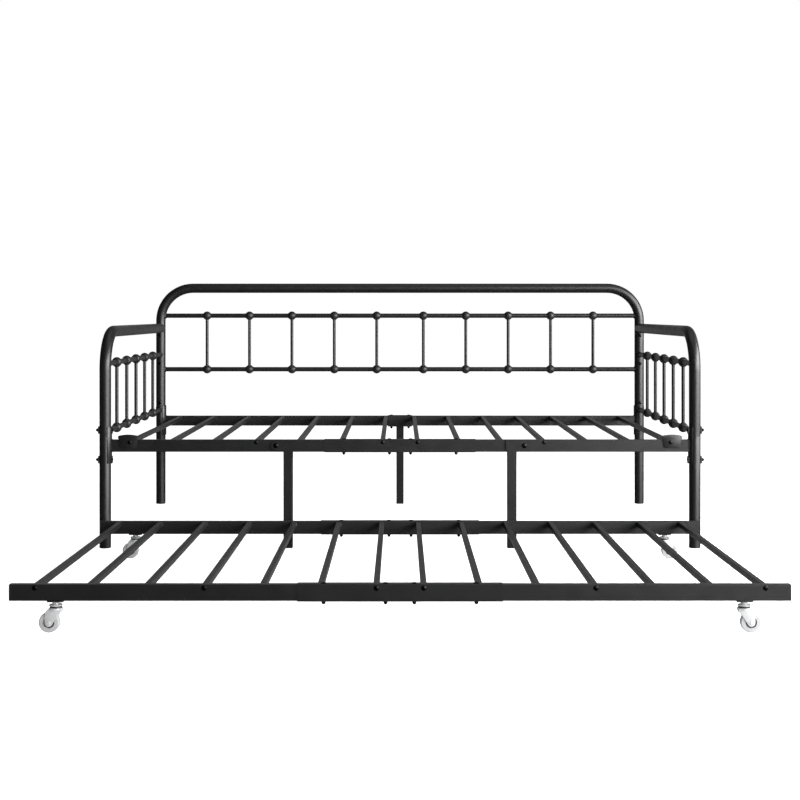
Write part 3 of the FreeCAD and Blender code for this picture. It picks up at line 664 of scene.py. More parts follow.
@dataclass(frozen=True)
class NutSize:
    """Size of a hexagon cap nut."""

    flats: float
    height: float
    washer_t: float = 0.0009

    def solid(self) -> Solid:
        """One nut on its thin washer, seat at local Z 0."""
        flats, top = self.flats, self.height * 0.6
        washer = Solid.turned([(0, 0), (flats * 0.66, 0), (flats * 0.69, 0.0003),
                               (flats * 0.66, self.washer_t), (0, self.washer_t)], 24)
        body = Solid.hexagon(flats, self.washer_t, top, flats * 0.07)
        dome_r = flats * 0.42
        profile = [(dome_r, top - 0.0004), (dome_r, top)]
        for i in range(1, 6):
            turn = math.radians(15 * i)
            profile.append((dome_r * math.cos(turn), top + (self.height - top) * math.sin(turn)))
        return Solid.joined(washer, body, Solid.turned(profile + [(0, self.height)], 20))


RAIL_BOLT = BoltSize(0.0085, 0.0028, 0.005)
SLAT_SCREW = BoltSize(0.0065, 0.0022, 0.004)
REAR_BOLT = BoltSize(0.0065, 0.0015, 0.004)
PIVOT_BOLT = BoltSize(0.0085, 0.0028, 0.006, 0.004)
CAP_NUT = NutSize(0.010, 0.009)
PIVOT_NUT = NutSize(0.013, 0.008)
NUT_DEPTH = 0.004


def round_foot(radius: float, thick: float, plug_r: float, plug: float) -> Solid:
    """Plastic glide: rounded pad under a tube with a ribbed plug inside it."""
    edge = thick * 0.4
    pad = [(0, 0), (radius - edge * 1.6, 0)] + arc((radius - edge, edge), edge, -90, 0, 4)
    pad += [(radius, thick - 0.0004), (radius - 0.0004, thick), (plug_r, thick)]
    for i in range(4):
        low = thick + plug * (i + 0.25) / 4
        pad += [(plug_r - 0.0008, low), (plug_r, low + plug * 0.1)]
    pad += [(plug_r - 0.001, thick + plug), (0, thick + plug)]
    return Solid.turned(pad, 32)


def square_foot(half: float, thick: float, plug: float, wall: float) -> Solid:
    """Plastic glide for a square tube: rounded pad and a plug with a lead-in."""
    inner = half - wall
    pad = Solid.boxed((-half, -half, 0), (half, half, thick), thick * 0.3, 3)
    core = Solid.boxed((-inner, -inner, thick * 0.5), (inner, inner, thick + plug), 0.0012, 2)
    return Solid.joined(pad, core)


# ---------------------------------------------------------------- shared lines of the bed


@dataclass(frozen=True)
class Lines:
    """Lines that several sub-assemblies share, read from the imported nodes."""

    post_x: float
    post_r: float
    front_y: float
    back_y: float
    rail_d: float
    deck_top: float
    deck_low: float
    trundle_ys: tuple[float, float]
    trundle_top: float
    trundle_low: float

    @classmethod
    def read(cls) -> "Lines":
        """Read them off the boxes of the posts and rails."""
        leg_low, leg_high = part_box("right_front_leg")
        rail_low, rail_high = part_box("deck_front_rail_right")
        roll_low, roll_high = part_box("trundle_front_rail")
        return cls(
            post_x=(leg_low.x + leg_high.x) / 2,
            post_r=(leg_high.x - leg_low.x) / 2,
            front_y=(leg_low.y + leg_high.y) / 2,
            back_y=middle("back_hoop_tube").y,
            rail_d=rail_high.y - rail_low.y,
            deck_top=rail_high.z,
            deck_low=rail_low.z,
            trundle_ys=((roll_low.y + roll_high.y) / 2, middle("trundle_rear_rail").y),
            trundle_top=roll_high.z,
            trundle_low=roll_low.z,
        )


@dataclass
class CastFerrule:
    """Die-cast ball that joins an upright spindle to a thin rail.

    Its own X is the rail and its own Z the spindle.
    """

    ball_r: float = 0.0172
    collar_r: float = 0.0104
    collar_reach: float = 0.0154
    bore_r: float = 0.00905
    socket_r: float = 0.0076
    socket_reach: float = 0.0166
    socket_bore: float = 0.00605
    fillet: float = 0.0008
    lip: float = 0.0005
    seam: float = 0.00025

    def blend_to_ball(self, stem_r: float, steps: int = 4) -> Profile:
        """Concave fillet from a round stem on to the ball, as (radius, along), stem first."""
        center_r = stem_r + self.fillet
        along = math.sqrt((self.ball_r + self.fillet) ** 2 - center_r ** 2)
        end = math.degrees(math.atan2(-along, -center_r)) % 360
        return arc((center_r, along), self.fillet, 180, end, steps)

    def body(self) -> Solid:
        """Ball with a shallow lip at each side, turned about the rail."""
        fillet = self.blend_to_ball(self.collar_r)
        touch = math.degrees(math.atan2(fillet[-1][1], fillet[-1][0]))
        end = self.collar_reach
        half = [(self.bore_r, end), (self.collar_r - self.lip, end), (self.collar_r, end - self.lip)] + fillet
        ball = arc((0, 0), self.ball_r, touch, -touch, 14)[1:-1]
        other = [(r, -h) for r, h in reversed(half)]
        turned = Solid.turned(half + ball + other, 30, ring=True)
        return Solid.joined((turned, seated((0, 0, 0), X_AXIS, Y_AXIS)))

    def socket(self) -> Solid:
        """Lip of the socket that takes the spindle's end."""
        flare = self.blend_to_ball(self.socket_r)
        inside = self.ball_r * 0.72
        end = self.socket_reach
        profile = [(self.socket_bore, inside), (self.socket_bore, end),
                   (self.socket_r - self.lip, end), (self.socket_r, end - self.lip)]
        return Solid.turned(profile + flare + [(flare[-1][0] * 0.9, inside)], 24, ring=True)

    def parting_line(self) -> Solid:
        """Thin flash line round the ball, where the two halves of the die met."""
        width = 0.0005
        section = [(self.ball_r - width, -width), (self.ball_r + self.seam, 0), (self.ball_r - width, width)]
        ring = Solid.turned(section, 40, ring=True)
        return Solid.joined((ring, seated((0, 0, 0), Y_AXIS, X_AXIS)))

    def solid(self) -> Solid:
        """The whole casting."""
        return Solid.joined(self.body(), self.socket(), self.parting_line())


@dataclass
class SpindlePanel:
    """What the back panel and the arms share: two thin rails, spindles and a ferrule at each crossing."""

    lines: Lines
    rails: str = "back_rails"
    rail_r: float = 0.009
    spindle_r: float = 0.006
    ferrule: CastFerrule = field(default_factory=CastFerrule)

    def rail_heights(self) -> tuple[float, float]:
        """Centre heights of the low and the high rail."""
        low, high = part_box(self.rails)
        return low.z + self.rail_r, high.z - self.rail_r

    def cast(self, name: str, node: str, spots: list[tuple[float, float]], along: Vector) -> None:
        """Put a ferrule at each crossing, its socket towards the spindle.

        Args:
            name: Name of the piece.
            node: CAD node it replaces.
            spots: Places of the spindles as (x, y).
            along: Direction of the rails.
        """
        piece = Piece(name)
        casting = self.ferrule.solid()
        for height, up in zip(self.rail_heights(), (Z_AXIS, -Z_AXIS)):
            piece.add(casting, *[seated((x, y, height), up, along) for x, y in spots])
        piece.put(CAST_COAT, Slot.CAST, Body.DAYBED.value, node)

    def ring(self, bead_r: float, seat_r: float) -> Solid:
        """Weld ring round the end of a thin rail, on a round seat."""
        return weld_ring(self.rail_r + bead_r * 0.25, bead_r, seat_r)


@dataclass
class BackPanel(SpindlePanel):
    """Bent back hoop with two thin rails, upright spindles and cast ferrules."""

    spindles_per_half: int = 5
    pitch: float = 0.173
    bend_r: float = 0.132
    bead_r: float = 0.0024

    def spindle_xs(self) -> list[float]:
        """Places of the spindles along the bed."""
        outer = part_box("back_spindles")[1].x - self.spindle_r
        return [side * (outer - self.pitch * i) for side in SIDES for i in range(self.spindles_per_half)]

    def welds(self) -> None:
        """Weld rings where the thin rails meet the hoop's posts."""
        piece = Piece("back_rail_welds")
        ring = self.ring(self.bead_r, self.lines.post_r)
        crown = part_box("back_hoop_tube")[1].z - self.lines.post_r
        for side in SIDES:
            for height in self.rail_heights():
                reach = self.lines.post_x - bend_inset(self.bend_r, crown, height)
                piece.add(ring, seated((side * reach, self.lines.back_y, height), -side * X_AXIS, Y_AXIS))
        piece.put(WELD_COAT, Slot.COAT, Body.DAYBED.value)

    def build(self) -> None:
        """Dress the tubes and build the castings and welds."""
        dress(SATIN_COAT, "back_hoop_tube", "back_rails", "back_spindles")
        spots = [(x, self.lines.back_y) for x in self.spindle_xs()]
        self.cast("back_ferrule_castings", "back_ball_ferrules", spots, X_AXIS)
        self.welds()


@dataclass
class SideArms(SpindlePanel):
    """Both bent arms with their thin rails, spindles, ferrules and bolted end tabs."""

    rails: str = "arm_rails"
    spindles: int = 5
    bend_r: float = 0.125
    bead_r: float = 0.0022
    tab_t: float = 0.0022
    tab_bolt_zs: tuple[float, ...] = (0.686, 0.572, 0.412)

    def spindle_ys(self) -> list[float]:
        """Places of the spindles along an arm."""
        low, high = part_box("arm_spindles")
        first, last = low.y + self.spindle_r, high.y - self.spindle_r
        return [first + (last - first) * i / (self.spindles - 1) for i in range(self.spindles)]

    def welds(self) -> None:
        """Weld rings at both ends of each arm rail: on the bent tube in front, on the end tab behind."""
        piece = Piece("arm_rail_welds")
        on_post = self.ring(self.bead_r, self.lines.post_r)
        on_tab = self.ring(self.bead_r, self.lines.post_r + self.tab_t)
        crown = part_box("right_arm_tube")[1].z - self.lines.post_r
        for side in SIDES:
            x = side * self.lines.post_x
            for height in self.rail_heights():
                y = self.lines.front_y + bend_inset(self.bend_r, crown, height)
                piece.add(on_post, seated((x, y, height), Y_AXIS, X_AXIS))
                piece.add(on_tab, seated((x, self.lines.back_y, height), -Y_AXIS, X_AXIS))
        piece.put(WELD_COAT, Slot.COAT, Body.DAYBED.value)

    def bolts(self) -> None:
        """Bolts through the end tabs and the back posts, with cap nuts behind."""
        piece = Piece("arm_tab_bolts")
        seat_y = self.lines.back_y - self.lines.post_r - self.tab_t
        nut_y = self.lines.back_y + self.lines.post_r
        bolt = SLAT_SCREW.solid(nut_y - seat_y + NUT_DEPTH)
        nut = CAP_NUT.solid()
        for side in SIDES:
            for z in self.tab_bolt_zs:
                piece.add(bolt, seated((side * self.lines.post_x, seat_y, z), -Y_AXIS))
                piece.add(nut, seated((side * self.lines.post_x, nut_y, z), Y_AXIS))
        piece.put(BLACK_STEEL, Slot.FASTENER, Body.DAYBED.value, "arm_bolts")

    def build(self) -> None:
        """Dress the tubes and build what is cast, welded and bolted to them."""
        dress(SATIN_COAT, "left_arm_tube", "right_arm_tube", "arm_rails", "arm_spindles", "arm_end_tabs")
        spots = [(side * self.lines.post_x, y) for side in SIDES for y in self.spindle_ys()]
        self.cast("arm_ferrule_castings", "arm_ball_ferrules", spots, Y_AXIS)
        self.welds()
        self.bolts()


@dataclass
class FrontLegs:
    """Lower front legs that plug up into the arms, and the round and square feet."""

    lines: Lines
    wall: float = 0.0012
    fit: float = 0.0002
    rim: float = 0.0012
    spigot_top: float = 0.06
    foot_t: float = 0.004
    plug: float = 0.014

    def tubes(self) -> None:
        """Leg tubes with a rolled top rim, so that a fine groove shows at the joint."""
        for side, word in zip(SIDES, ("left", "right")):
            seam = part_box(word + "_arm_tube")[0].z
            r = self.lines.post_r
            spigot = r - self.wall - self.fit
            profile = [(r, self.foot_t), (r, seam - self.rim)]
            profile += arc((r - self.rim, seam - self.rim), self.rim, 0, 90, 4)[1:]
            profile += [(spigot, seam), (spigot, seam + self.spigot_top - 0.002),
                        (spigot - 0.001, seam + self.spigot_top),
                        (spigot - self.wall, seam + self.spigot_top),
                        (spigot - self.wall, seam - 0.012), (r - self.wall, seam - 0.014),
                        (r - self.wall, self.foot_t)]
            place = Matrix.Translation((side * self.lines.post_x, self.lines.front_y, 0))
            tube = Solid.turned(profile, 48, ring=True)
            Piece(word + "_front_leg_tube").add(tube, place).put(
                SATIN_COAT, Slot.COAT, Body.DAYBED.value, word + "_front_leg")

    def feet(self) -> None:
        """Round glides under the four posts and a square one under the middle leg."""
        piece = Piece("post_glides")
        bore_r = self.lines.post_r - self.wall
        glide = round_foot(self.lines.post_r, self.foot_t, bore_r - self.fit, self.plug)
        for side in SIDES:
            for y in (self.lines.front_y, self.lines.back_y):
                piece.add(glide, Matrix.Translation((side * self.lines.post_x, y, 0)))
        low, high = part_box("rear_center_leg")
        square = square_foot((high.x - low.x) / 2, self.foot_t, self.plug, self.wall + self.fit)
        piece.add(square, Matrix.Translation((0, (low.y + high.y) / 2, 0)))
        piece.put(BLACK_PLASTIC, Slot.PLASTIC, Body.DAYBED.value, "post_foot_caps")

    def build(self) -> None:
        """Build the legs and the feet."""
        self.tubes()
        self.feet()


@dataclass
class PostJoints:
    """Curved saddles on the rail ends, with their welds, bolts, washers and nuts."""

    lines: Lines
    fit: float = 0.0002
    saddle_t: float = 0.003
    saddle_angle: float = 120.0
    rim: float = 0.0008
    bolt_zs: tuple[float, ...] = (0.3896, 0.2916)
    crown_washer: float = 0.0012
    outer_washer: float = 0.003
    bead_r: float = 0.0022

    @property
    def crown(self) -> float:
        """Radius of a saddle's outer face."""
        return self.lines.post_r + self.fit + self.saddle_t

    def corners(self) -> list[tuple[float, float, float]]:
        """Every post as (side, x, y)."""
        ys = (self.lines.front_y, self.lines.back_y)
        return [(side, side * self.lines.post_x, y) for side in SIDES for y in ys]

    def saddles(self) -> None:
        """Saddle plates bent round the inner side of each post, rims rounded."""
        low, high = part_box("rail_end_saddles")
        half = math.radians(self.saddle_angle) / 2
        section = [(self.crown - self.saddle_t, low.z), (self.crown, low.z), (self.crown, high.z),
                   (self.crown - self.saddle_t, high.z)]
        plate = Solid.turned(section, 20, ring=True, turn=2 * half).rounded(self.rim, 2)
        piece = Piece("rail_saddle_plates")
        for side, x, y in self.corners():
            facing = 0.0 if side < 0 else math.pi
            piece.add(plate, Matrix.Translation((x, y, 0)) @ Matrix.Rotation(facing - half, 4, "Z"))
        piece.put(SATIN_COAT, Slot.COAT, Body.DAYBED.value, "rail_end_saddles")

    def welds(self) -> None:
        """Beads down both sides of each rail's end, and along its top and bottom."""
        piece = Piece("saddle_welds")
        half_d = self.lines.rail_d / 2
        upright = weld_bead(self.lines.deck_top - self.lines.deck_low - 0.006, self.bead_r)
        flat = weld_bead(self.lines.rail_d - 0.002, self.bead_r)
        mid_z = (self.lines.deck_top + self.lines.deck_low) / 2
        side_reach = math.sqrt(self.crown ** 2 - half_d ** 2)
        for side, x, y in self.corners():
            for face in SIDES:
                spot = (x - side * (side_reach + 0.0006), y + face * half_d, mid_z)
                piece.add(upright, seated(spot, Z_AXIS))
            for z in (self.lines.deck_top, self.lines.deck_low):
                piece.add(flat, seated((x - side * (self.crown - 0.0004), y, z), Y_AXIS, X_AXIS))
        piece.put(WELD_COAT, Slot.COAT, Body.DAYBED.value)

    def bolts(self) -> None:
        """Through bolts with inner heads and outer cap nuts in front; plain domed heads outside behind."""
        heads = Piece("post_through_bolts")
        nuts = Piece("post_acorn_nuts")
        seat = self.crown + self.crown_washer
        nut_seat = self.lines.post_r + self.outer_washer
        front = RAIL_BOLT.solid(seat + nut_seat + NUT_DEPTH)
        rear = REAR_BOLT.solid(self.lines.post_r + self.crown)
        nut = CAP_NUT.solid()
        for side in SIDES:
            x = side * self.lines.post_x
            out = side * X_AXIS
            for z in self.bolt_zs:
                heads.add(front, seated((x - side * seat, self.lines.front_y, z), -out))
                nuts.add(nut, seated((x + side * nut_seat, self.lines.front_y, z), out))
                heads.add(rear, seated((x + side * self.lines.post_r, self.lines.back_y, z), out))
        heads.put(BLACK_STEEL, Slot.FASTENER, Body.DAYBED.value, "post_bolts")
        nuts.put(BLACK_STEEL, Slot.FASTENER, Body.DAYBED.value, "post_cap_nuts")

    def build(self) -> None:
        """Build the joints; the moulded saddle washers keep their shape."""
        dress(BLACK_PLASTIC, "saddle_washers")
        self.saddles()
        self.welds()
        self.bolts()


@dataclass
class SlatRow:
    """One row of slats between a front and a rear rail: where they stand and how they are fixed."""

    xs: list[float]
    y_front: float
    y_rear: float
    top: float
    sleeve_half: float
    rear_sleeve: bool
    width: float = 0.015
    sleeve_t: float = 0.0015
    bead_r: float = 0.0019
    screw_bite: float = 0.014
    per_half: int = 7
    screwed: tuple[int, ...] = (0, 3, 6)

    @staticmethod
    def places(last: float, first: float = 0.0577, second: float = 0.1938,
               pitch: float = 0.1409) -> list[float]:
        """Places of all slats in a row, the left half first, each half counted outwards.

        Args:
            last: Outermost slat's distance from the middle of the bed.
            first: Innermost slat's distance.
            second: The next one's distance.
            pitch: Step from there to the last but one.

        Returns:
            The places along X.
        """
        half = [first] + [second + pitch * i for i in range(5)] + [last]
        return [side * x for side in SIDES for x in half]

    def welds(self, name: str, body: str) -> None:
        """Short beads down both sides and under each end of the slats that are welded."""
        piece = Piece(name)
        upright = weld_bead(self.width - 0.002, self.bead_r)
        for i, x in enumerate(self.xs):
            if i % self.per_half in self.screwed:
                continue
            for y, inward, sleeved in ((self.y_front, 1, True), (self.y_rear, -1, self.rear_sleeve)):
                step = self.sleeve_t if sleeved and abs(x) < self.sleeve_half else 0.0
                at_y = y + inward * (step + 0.0004)
                for face in SIDES:
                    spot = (x + face * (self.width / 2 + 0.0003), at_y, self.top - self.width / 2)
                    piece.add(upright, seated(spot, Z_AXIS))
                piece.add(upright, seated((x, at_y, self.top - self.width), X_AXIS, Y_AXIS))
        piece.put(WELD_COAT, Slot.COAT, body)

    def screws(self, name: str, body: str, node: str, proud_front: tuple[float, ...],
               proud_rear: tuple[float, ...], rail_d: float) -> None:
        """Socket-headed screws through both rails into the ends of the screwed slats.

        Args:
            name: Name of the piece.
            body: Body it rides on.
            node: CAD node it replaces.
            proud_front: How far each head is lifted in front, by a sleeve or a guard.
            proud_rear: The same behind.
            rail_d: Depth of a rail.
        """
        piece = Piece(name)
        z = self.top - self.width / 2
        for i, x in enumerate(self.xs):
            if i % self.per_half not in self.screwed:
                continue
            order = self.screwed.index(i % self.per_half)
            ends = ((self.y_front, -1, proud_front[order]), (self.y_rear, 1, proud_rear[order]))
            for y, out, proud in ends:
                screw = SLAT_SCREW.solid(rail_d + self.screw_bite + proud)
                piece.add(screw, seated((x, y + out * (rail_d + proud), z), out * Y_AXIS))
        piece.put(BLACK_STEEL, Slot.FASTENER, body, node)


@dataclass
class JoinerBolts:
    """Upright bolts and cap nuts through a rail joint."""

    xs: tuple[float, ...] = (-0.186, -0.035, 0.035, 0.186)

    def add_to(self, piece: Piece, y: float, top: float, low: float, xs: tuple[float, ...]) -> None:
        """Put a bolt and its nut at each place along a joint.

        Args:
            piece: Piece that takes them.
            y: The rail's line.
            top: Height of the heads' seats.
            low: Height of the nuts' seats.
            xs: Places along the rail.
        """
        piece.add(RAIL_BOLT.solid(top - low + NUT_DEPTH), *[seated((x, y, top), Z_AXIS) for x in xs])
        piece.add(CAP_NUT.solid(), *[seated((x, y, low), -Z_AXIS, X_AXIS) for x in xs])


@dataclass
class DeckFrame:
    """The daybed's base: rails, joiner sleeve, slats, rear centre bracket and leg."""

    lines: Lines
    slat_w: float = 0.015
    guard_t: float = 0.0025
    joiners: JoinerBolts = field(default_factory=JoinerBolts)

    def row(self) -> SlatRow:
        """The row of deck slats."""
        low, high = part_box("deck_slats_right")
        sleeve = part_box("deck_front_sleeve")[1].x
        return SlatRow(SlatRow.places(high.x - self.slat_w / 2), low.y, high.y, high.z, sleeve, False)

    def bolts(self) -> None:
        """Joiner bolts through the front sleeve and the rear centre bracket."""
        piece = Piece("deck_joiner_hardware")
        joints = (("deck_front_sleeve", self.joiners.xs), ("rear_center_bracket", self.joiners.xs[1:3]))
        for node, xs in joints:
            low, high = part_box(node)
            self.joiners.add_to(piece, (low.y + high.y) / 2, high.z, low.z, xs)
        piece.put(BLACK_STEEL, Slot.FASTENER, Body.DAYBED.value, "deck_joiner_bolts")

    def build(self) -> None:
        """Dress the steel and build its welds, screws and bolts."""
        dress(SATIN_COAT, "deck_front_rail_left", "deck_front_rail_right", "deck_rear_rail_left",
              "deck_rear_rail_right", "deck_front_sleeve", "rear_center_bracket", "rear_center_leg",
              "deck_slats_left", "deck_slats_right")
        row = self.row()
        row.welds("deck_slat_welds", Body.DAYBED.value)
        row.screws("deck_socket_screws", Body.DAYBED.value, "deck_slat_screws",
                   (row.sleeve_t, 0, self.guard_t), (0, 0, 0), self.lines.rail_d)
        self.bolts()


@dataclass
class MattressGuard:
    """Shaped plate that stops a mattress from sliding off, one at each end of the front rail."""

    lines: Lines
    half_w: float = 0.0345
    waist: float = 0.031
    foot: float = 0.027
    rise: float = 0.0175
    shoulder: float = 0.013
    widest: float = 0.009
    drop: float = 0.028
    thick: float = 0.0025
    rim: float = 0.0007

    def outline(self) -> Profile:
        """Crowned top with soft shoulders over a waist, then a body that narrows to a rounded foot."""
        shoulder_r = 0.004
        crown = self.rise - self.shoulder
        crown_r = (self.half_w ** 2 + crown ** 2) / (2 * crown)
        half_turn = math.degrees(math.asin((self.half_w - shoulder_r) / crown_r))
        corner_r = 0.005
        right = [(self.foot - corner_r, -self.drop)]
        right += arc((self.foot - corner_r, corner_r - self.drop), corner_r, -90, 0, 5)[1:]
        right += [(self.waist, 0.0), (self.half_w, self.widest)]
        top = arc((0, self.rise - crown_r), crown_r, 90 - half_turn, 90 + half_turn, 14)
        left = [(-x, z) for x, z in reversed(right)]
        return right + top + left

    def build(self) -> None:
        """Build both guards."""
        low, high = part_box("mattress_guards")
        reach = (high.x - low.x) / 2 - self.half_w
        plate = Solid.plate(self.outline(), self.thick, self.rim, 2)
        piece = Piece("mattress_guard_plates")
        for side in SIDES:
            piece.add(plate, Matrix.Translation((side * reach, low.y, self.lines.deck_top)))
        piece.put(SATIN_COAT, Slot.COAT, Body.DAYBED.value, "mattress_guards")


@dataclass
class FoldingLeg:
    """Front leg that folds up sideways about a bolt in the front rail."""

    lines: Lines
    word: str
    foot_plug: float = 0.014
    wall: float = 0.0014

    def build(self) -> None:
        """Dress the leg and bracket, and build the foot and the pivot."""
        leg = self.word + "_fold_leg"
        dress(SATIN_COAT, leg + "_tube", leg + "_bracket")
        low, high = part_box(leg + "_tube")
        half = (high.x - low.x) / 2
        foot = square_foot(half, low.z, self.foot_plug, self.wall)
        place = Matrix.Translation(((low.x + high.x) / 2, (low.y + high.y) / 2, 0))
        Piece(leg + "_glide").add(foot, place).put(
            BLACK_PLASTIC, Slot.PLASTIC, body_of_node(leg + "_tube"), leg + "_foot")
        pivot = middle(leg + "_pivot")
        piece = Piece(leg + "_pivot_bolt")
        bolt = PIVOT_BOLT.solid(2 * half + NUT_DEPTH)
        piece.add(bolt, seated((pivot.x, self.lines.front_y - half, pivot.z), -Y_AXIS))
        piece.add(PIVOT_NUT.solid(), seated((pivot.x, self.lines.front_y + half, pivot.z), Y_AXIS))
        piece.put(BLACK_STEEL, Slot.FASTENER, body_of_node(leg + "_pivot"), leg + "_pivot")


@dataclass
class TrundleDeck:
    """Rolling lower bed: rails, sleeves, slats, end caps, screws and joiner bolts."""

    lines: Lines
    slat_w: float = 0.015
    cap_t: float = 0.003
    wall: float = 0.0014
    joiners: JoinerBolts = field(default_factory=JoinerBolts)

    def end_caps(self) -> None:
        """Plastic caps that close the rails' ends, each with a rim and a ribbed plug."""
        seat_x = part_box("trundle_end_caps")[1].x - self.cap_t
        half_d = self.lines.rail_d / 2
        height = self.lines.trundle_top - self.lines.trundle_low
        plate = Solid.boxed((0, -half_d, 0), (self.cap_t, half_d, height), 0.0011, 3)
        gap = self.wall
        plug = Solid.boxed((-0.011, gap - half_d, gap), (0.0005, half_d - gap, height - gap), 0.0008, 1)
        panel = Solid.boxed((self.cap_t - 0.0006, 0.004 - half_d, 0.004),
                            (self.cap_t + 0.0002, half_d - 0.004, height - 0.004), 0.0004, 2)
        cap = Solid.joined(plate, plug, panel)
        piece = Piece("trundle_rail_caps")
        for side in SIDES:
            for y in self.lines.trundle_ys:
                flip = Matrix.Scale(side, 4, X_AXIS)
                piece.add(cap, Matrix.Translation((side * seat_x, y, self.lines.trundle_low)) @ flip)
        piece.put(BLACK_PLASTIC, Slot.PLASTIC, Body.TRUNDLE.value, "trundle_end_caps")

    def build(self) -> None:
        """Dress the steel and build what is welded, screwed and pushed into it."""
        dress(SATIN_COAT, "trundle_front_rail", "trundle_rear_rail", "trundle_front_sleeve",
              "trundle_rear_sleeve", "trundle_slats")
        low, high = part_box("trundle_slats")
        sleeve_low, sleeve_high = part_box("trundle_front_sleeve")
        row = SlatRow(SlatRow.places(high.x - self.slat_w / 2), low.y, high.y, high.z, sleeve_high.x, True)
        row.welds("trundle_slat_welds", Body.TRUNDLE.value)
        lifts = (row.sleeve_t, 0, 0)
        row.screws("trundle_socket_screws", Body.TRUNDLE.value, "trundle_slat_screws", lifts, lifts,
                   self.lines.rail_d)
        piece = Piece("trundle_joiner_hardware")
        for y in self.lines.trundle_ys:
            self.joiners.add_to(piece, y, sleeve_high.z, sleeve_low.z, self.joiners.xs)
        piece.put(BLACK_STEEL, Slot.FASTENER, Body.TRUNDLE.value, "trundle_joiner_bolts")
        self.end_caps()


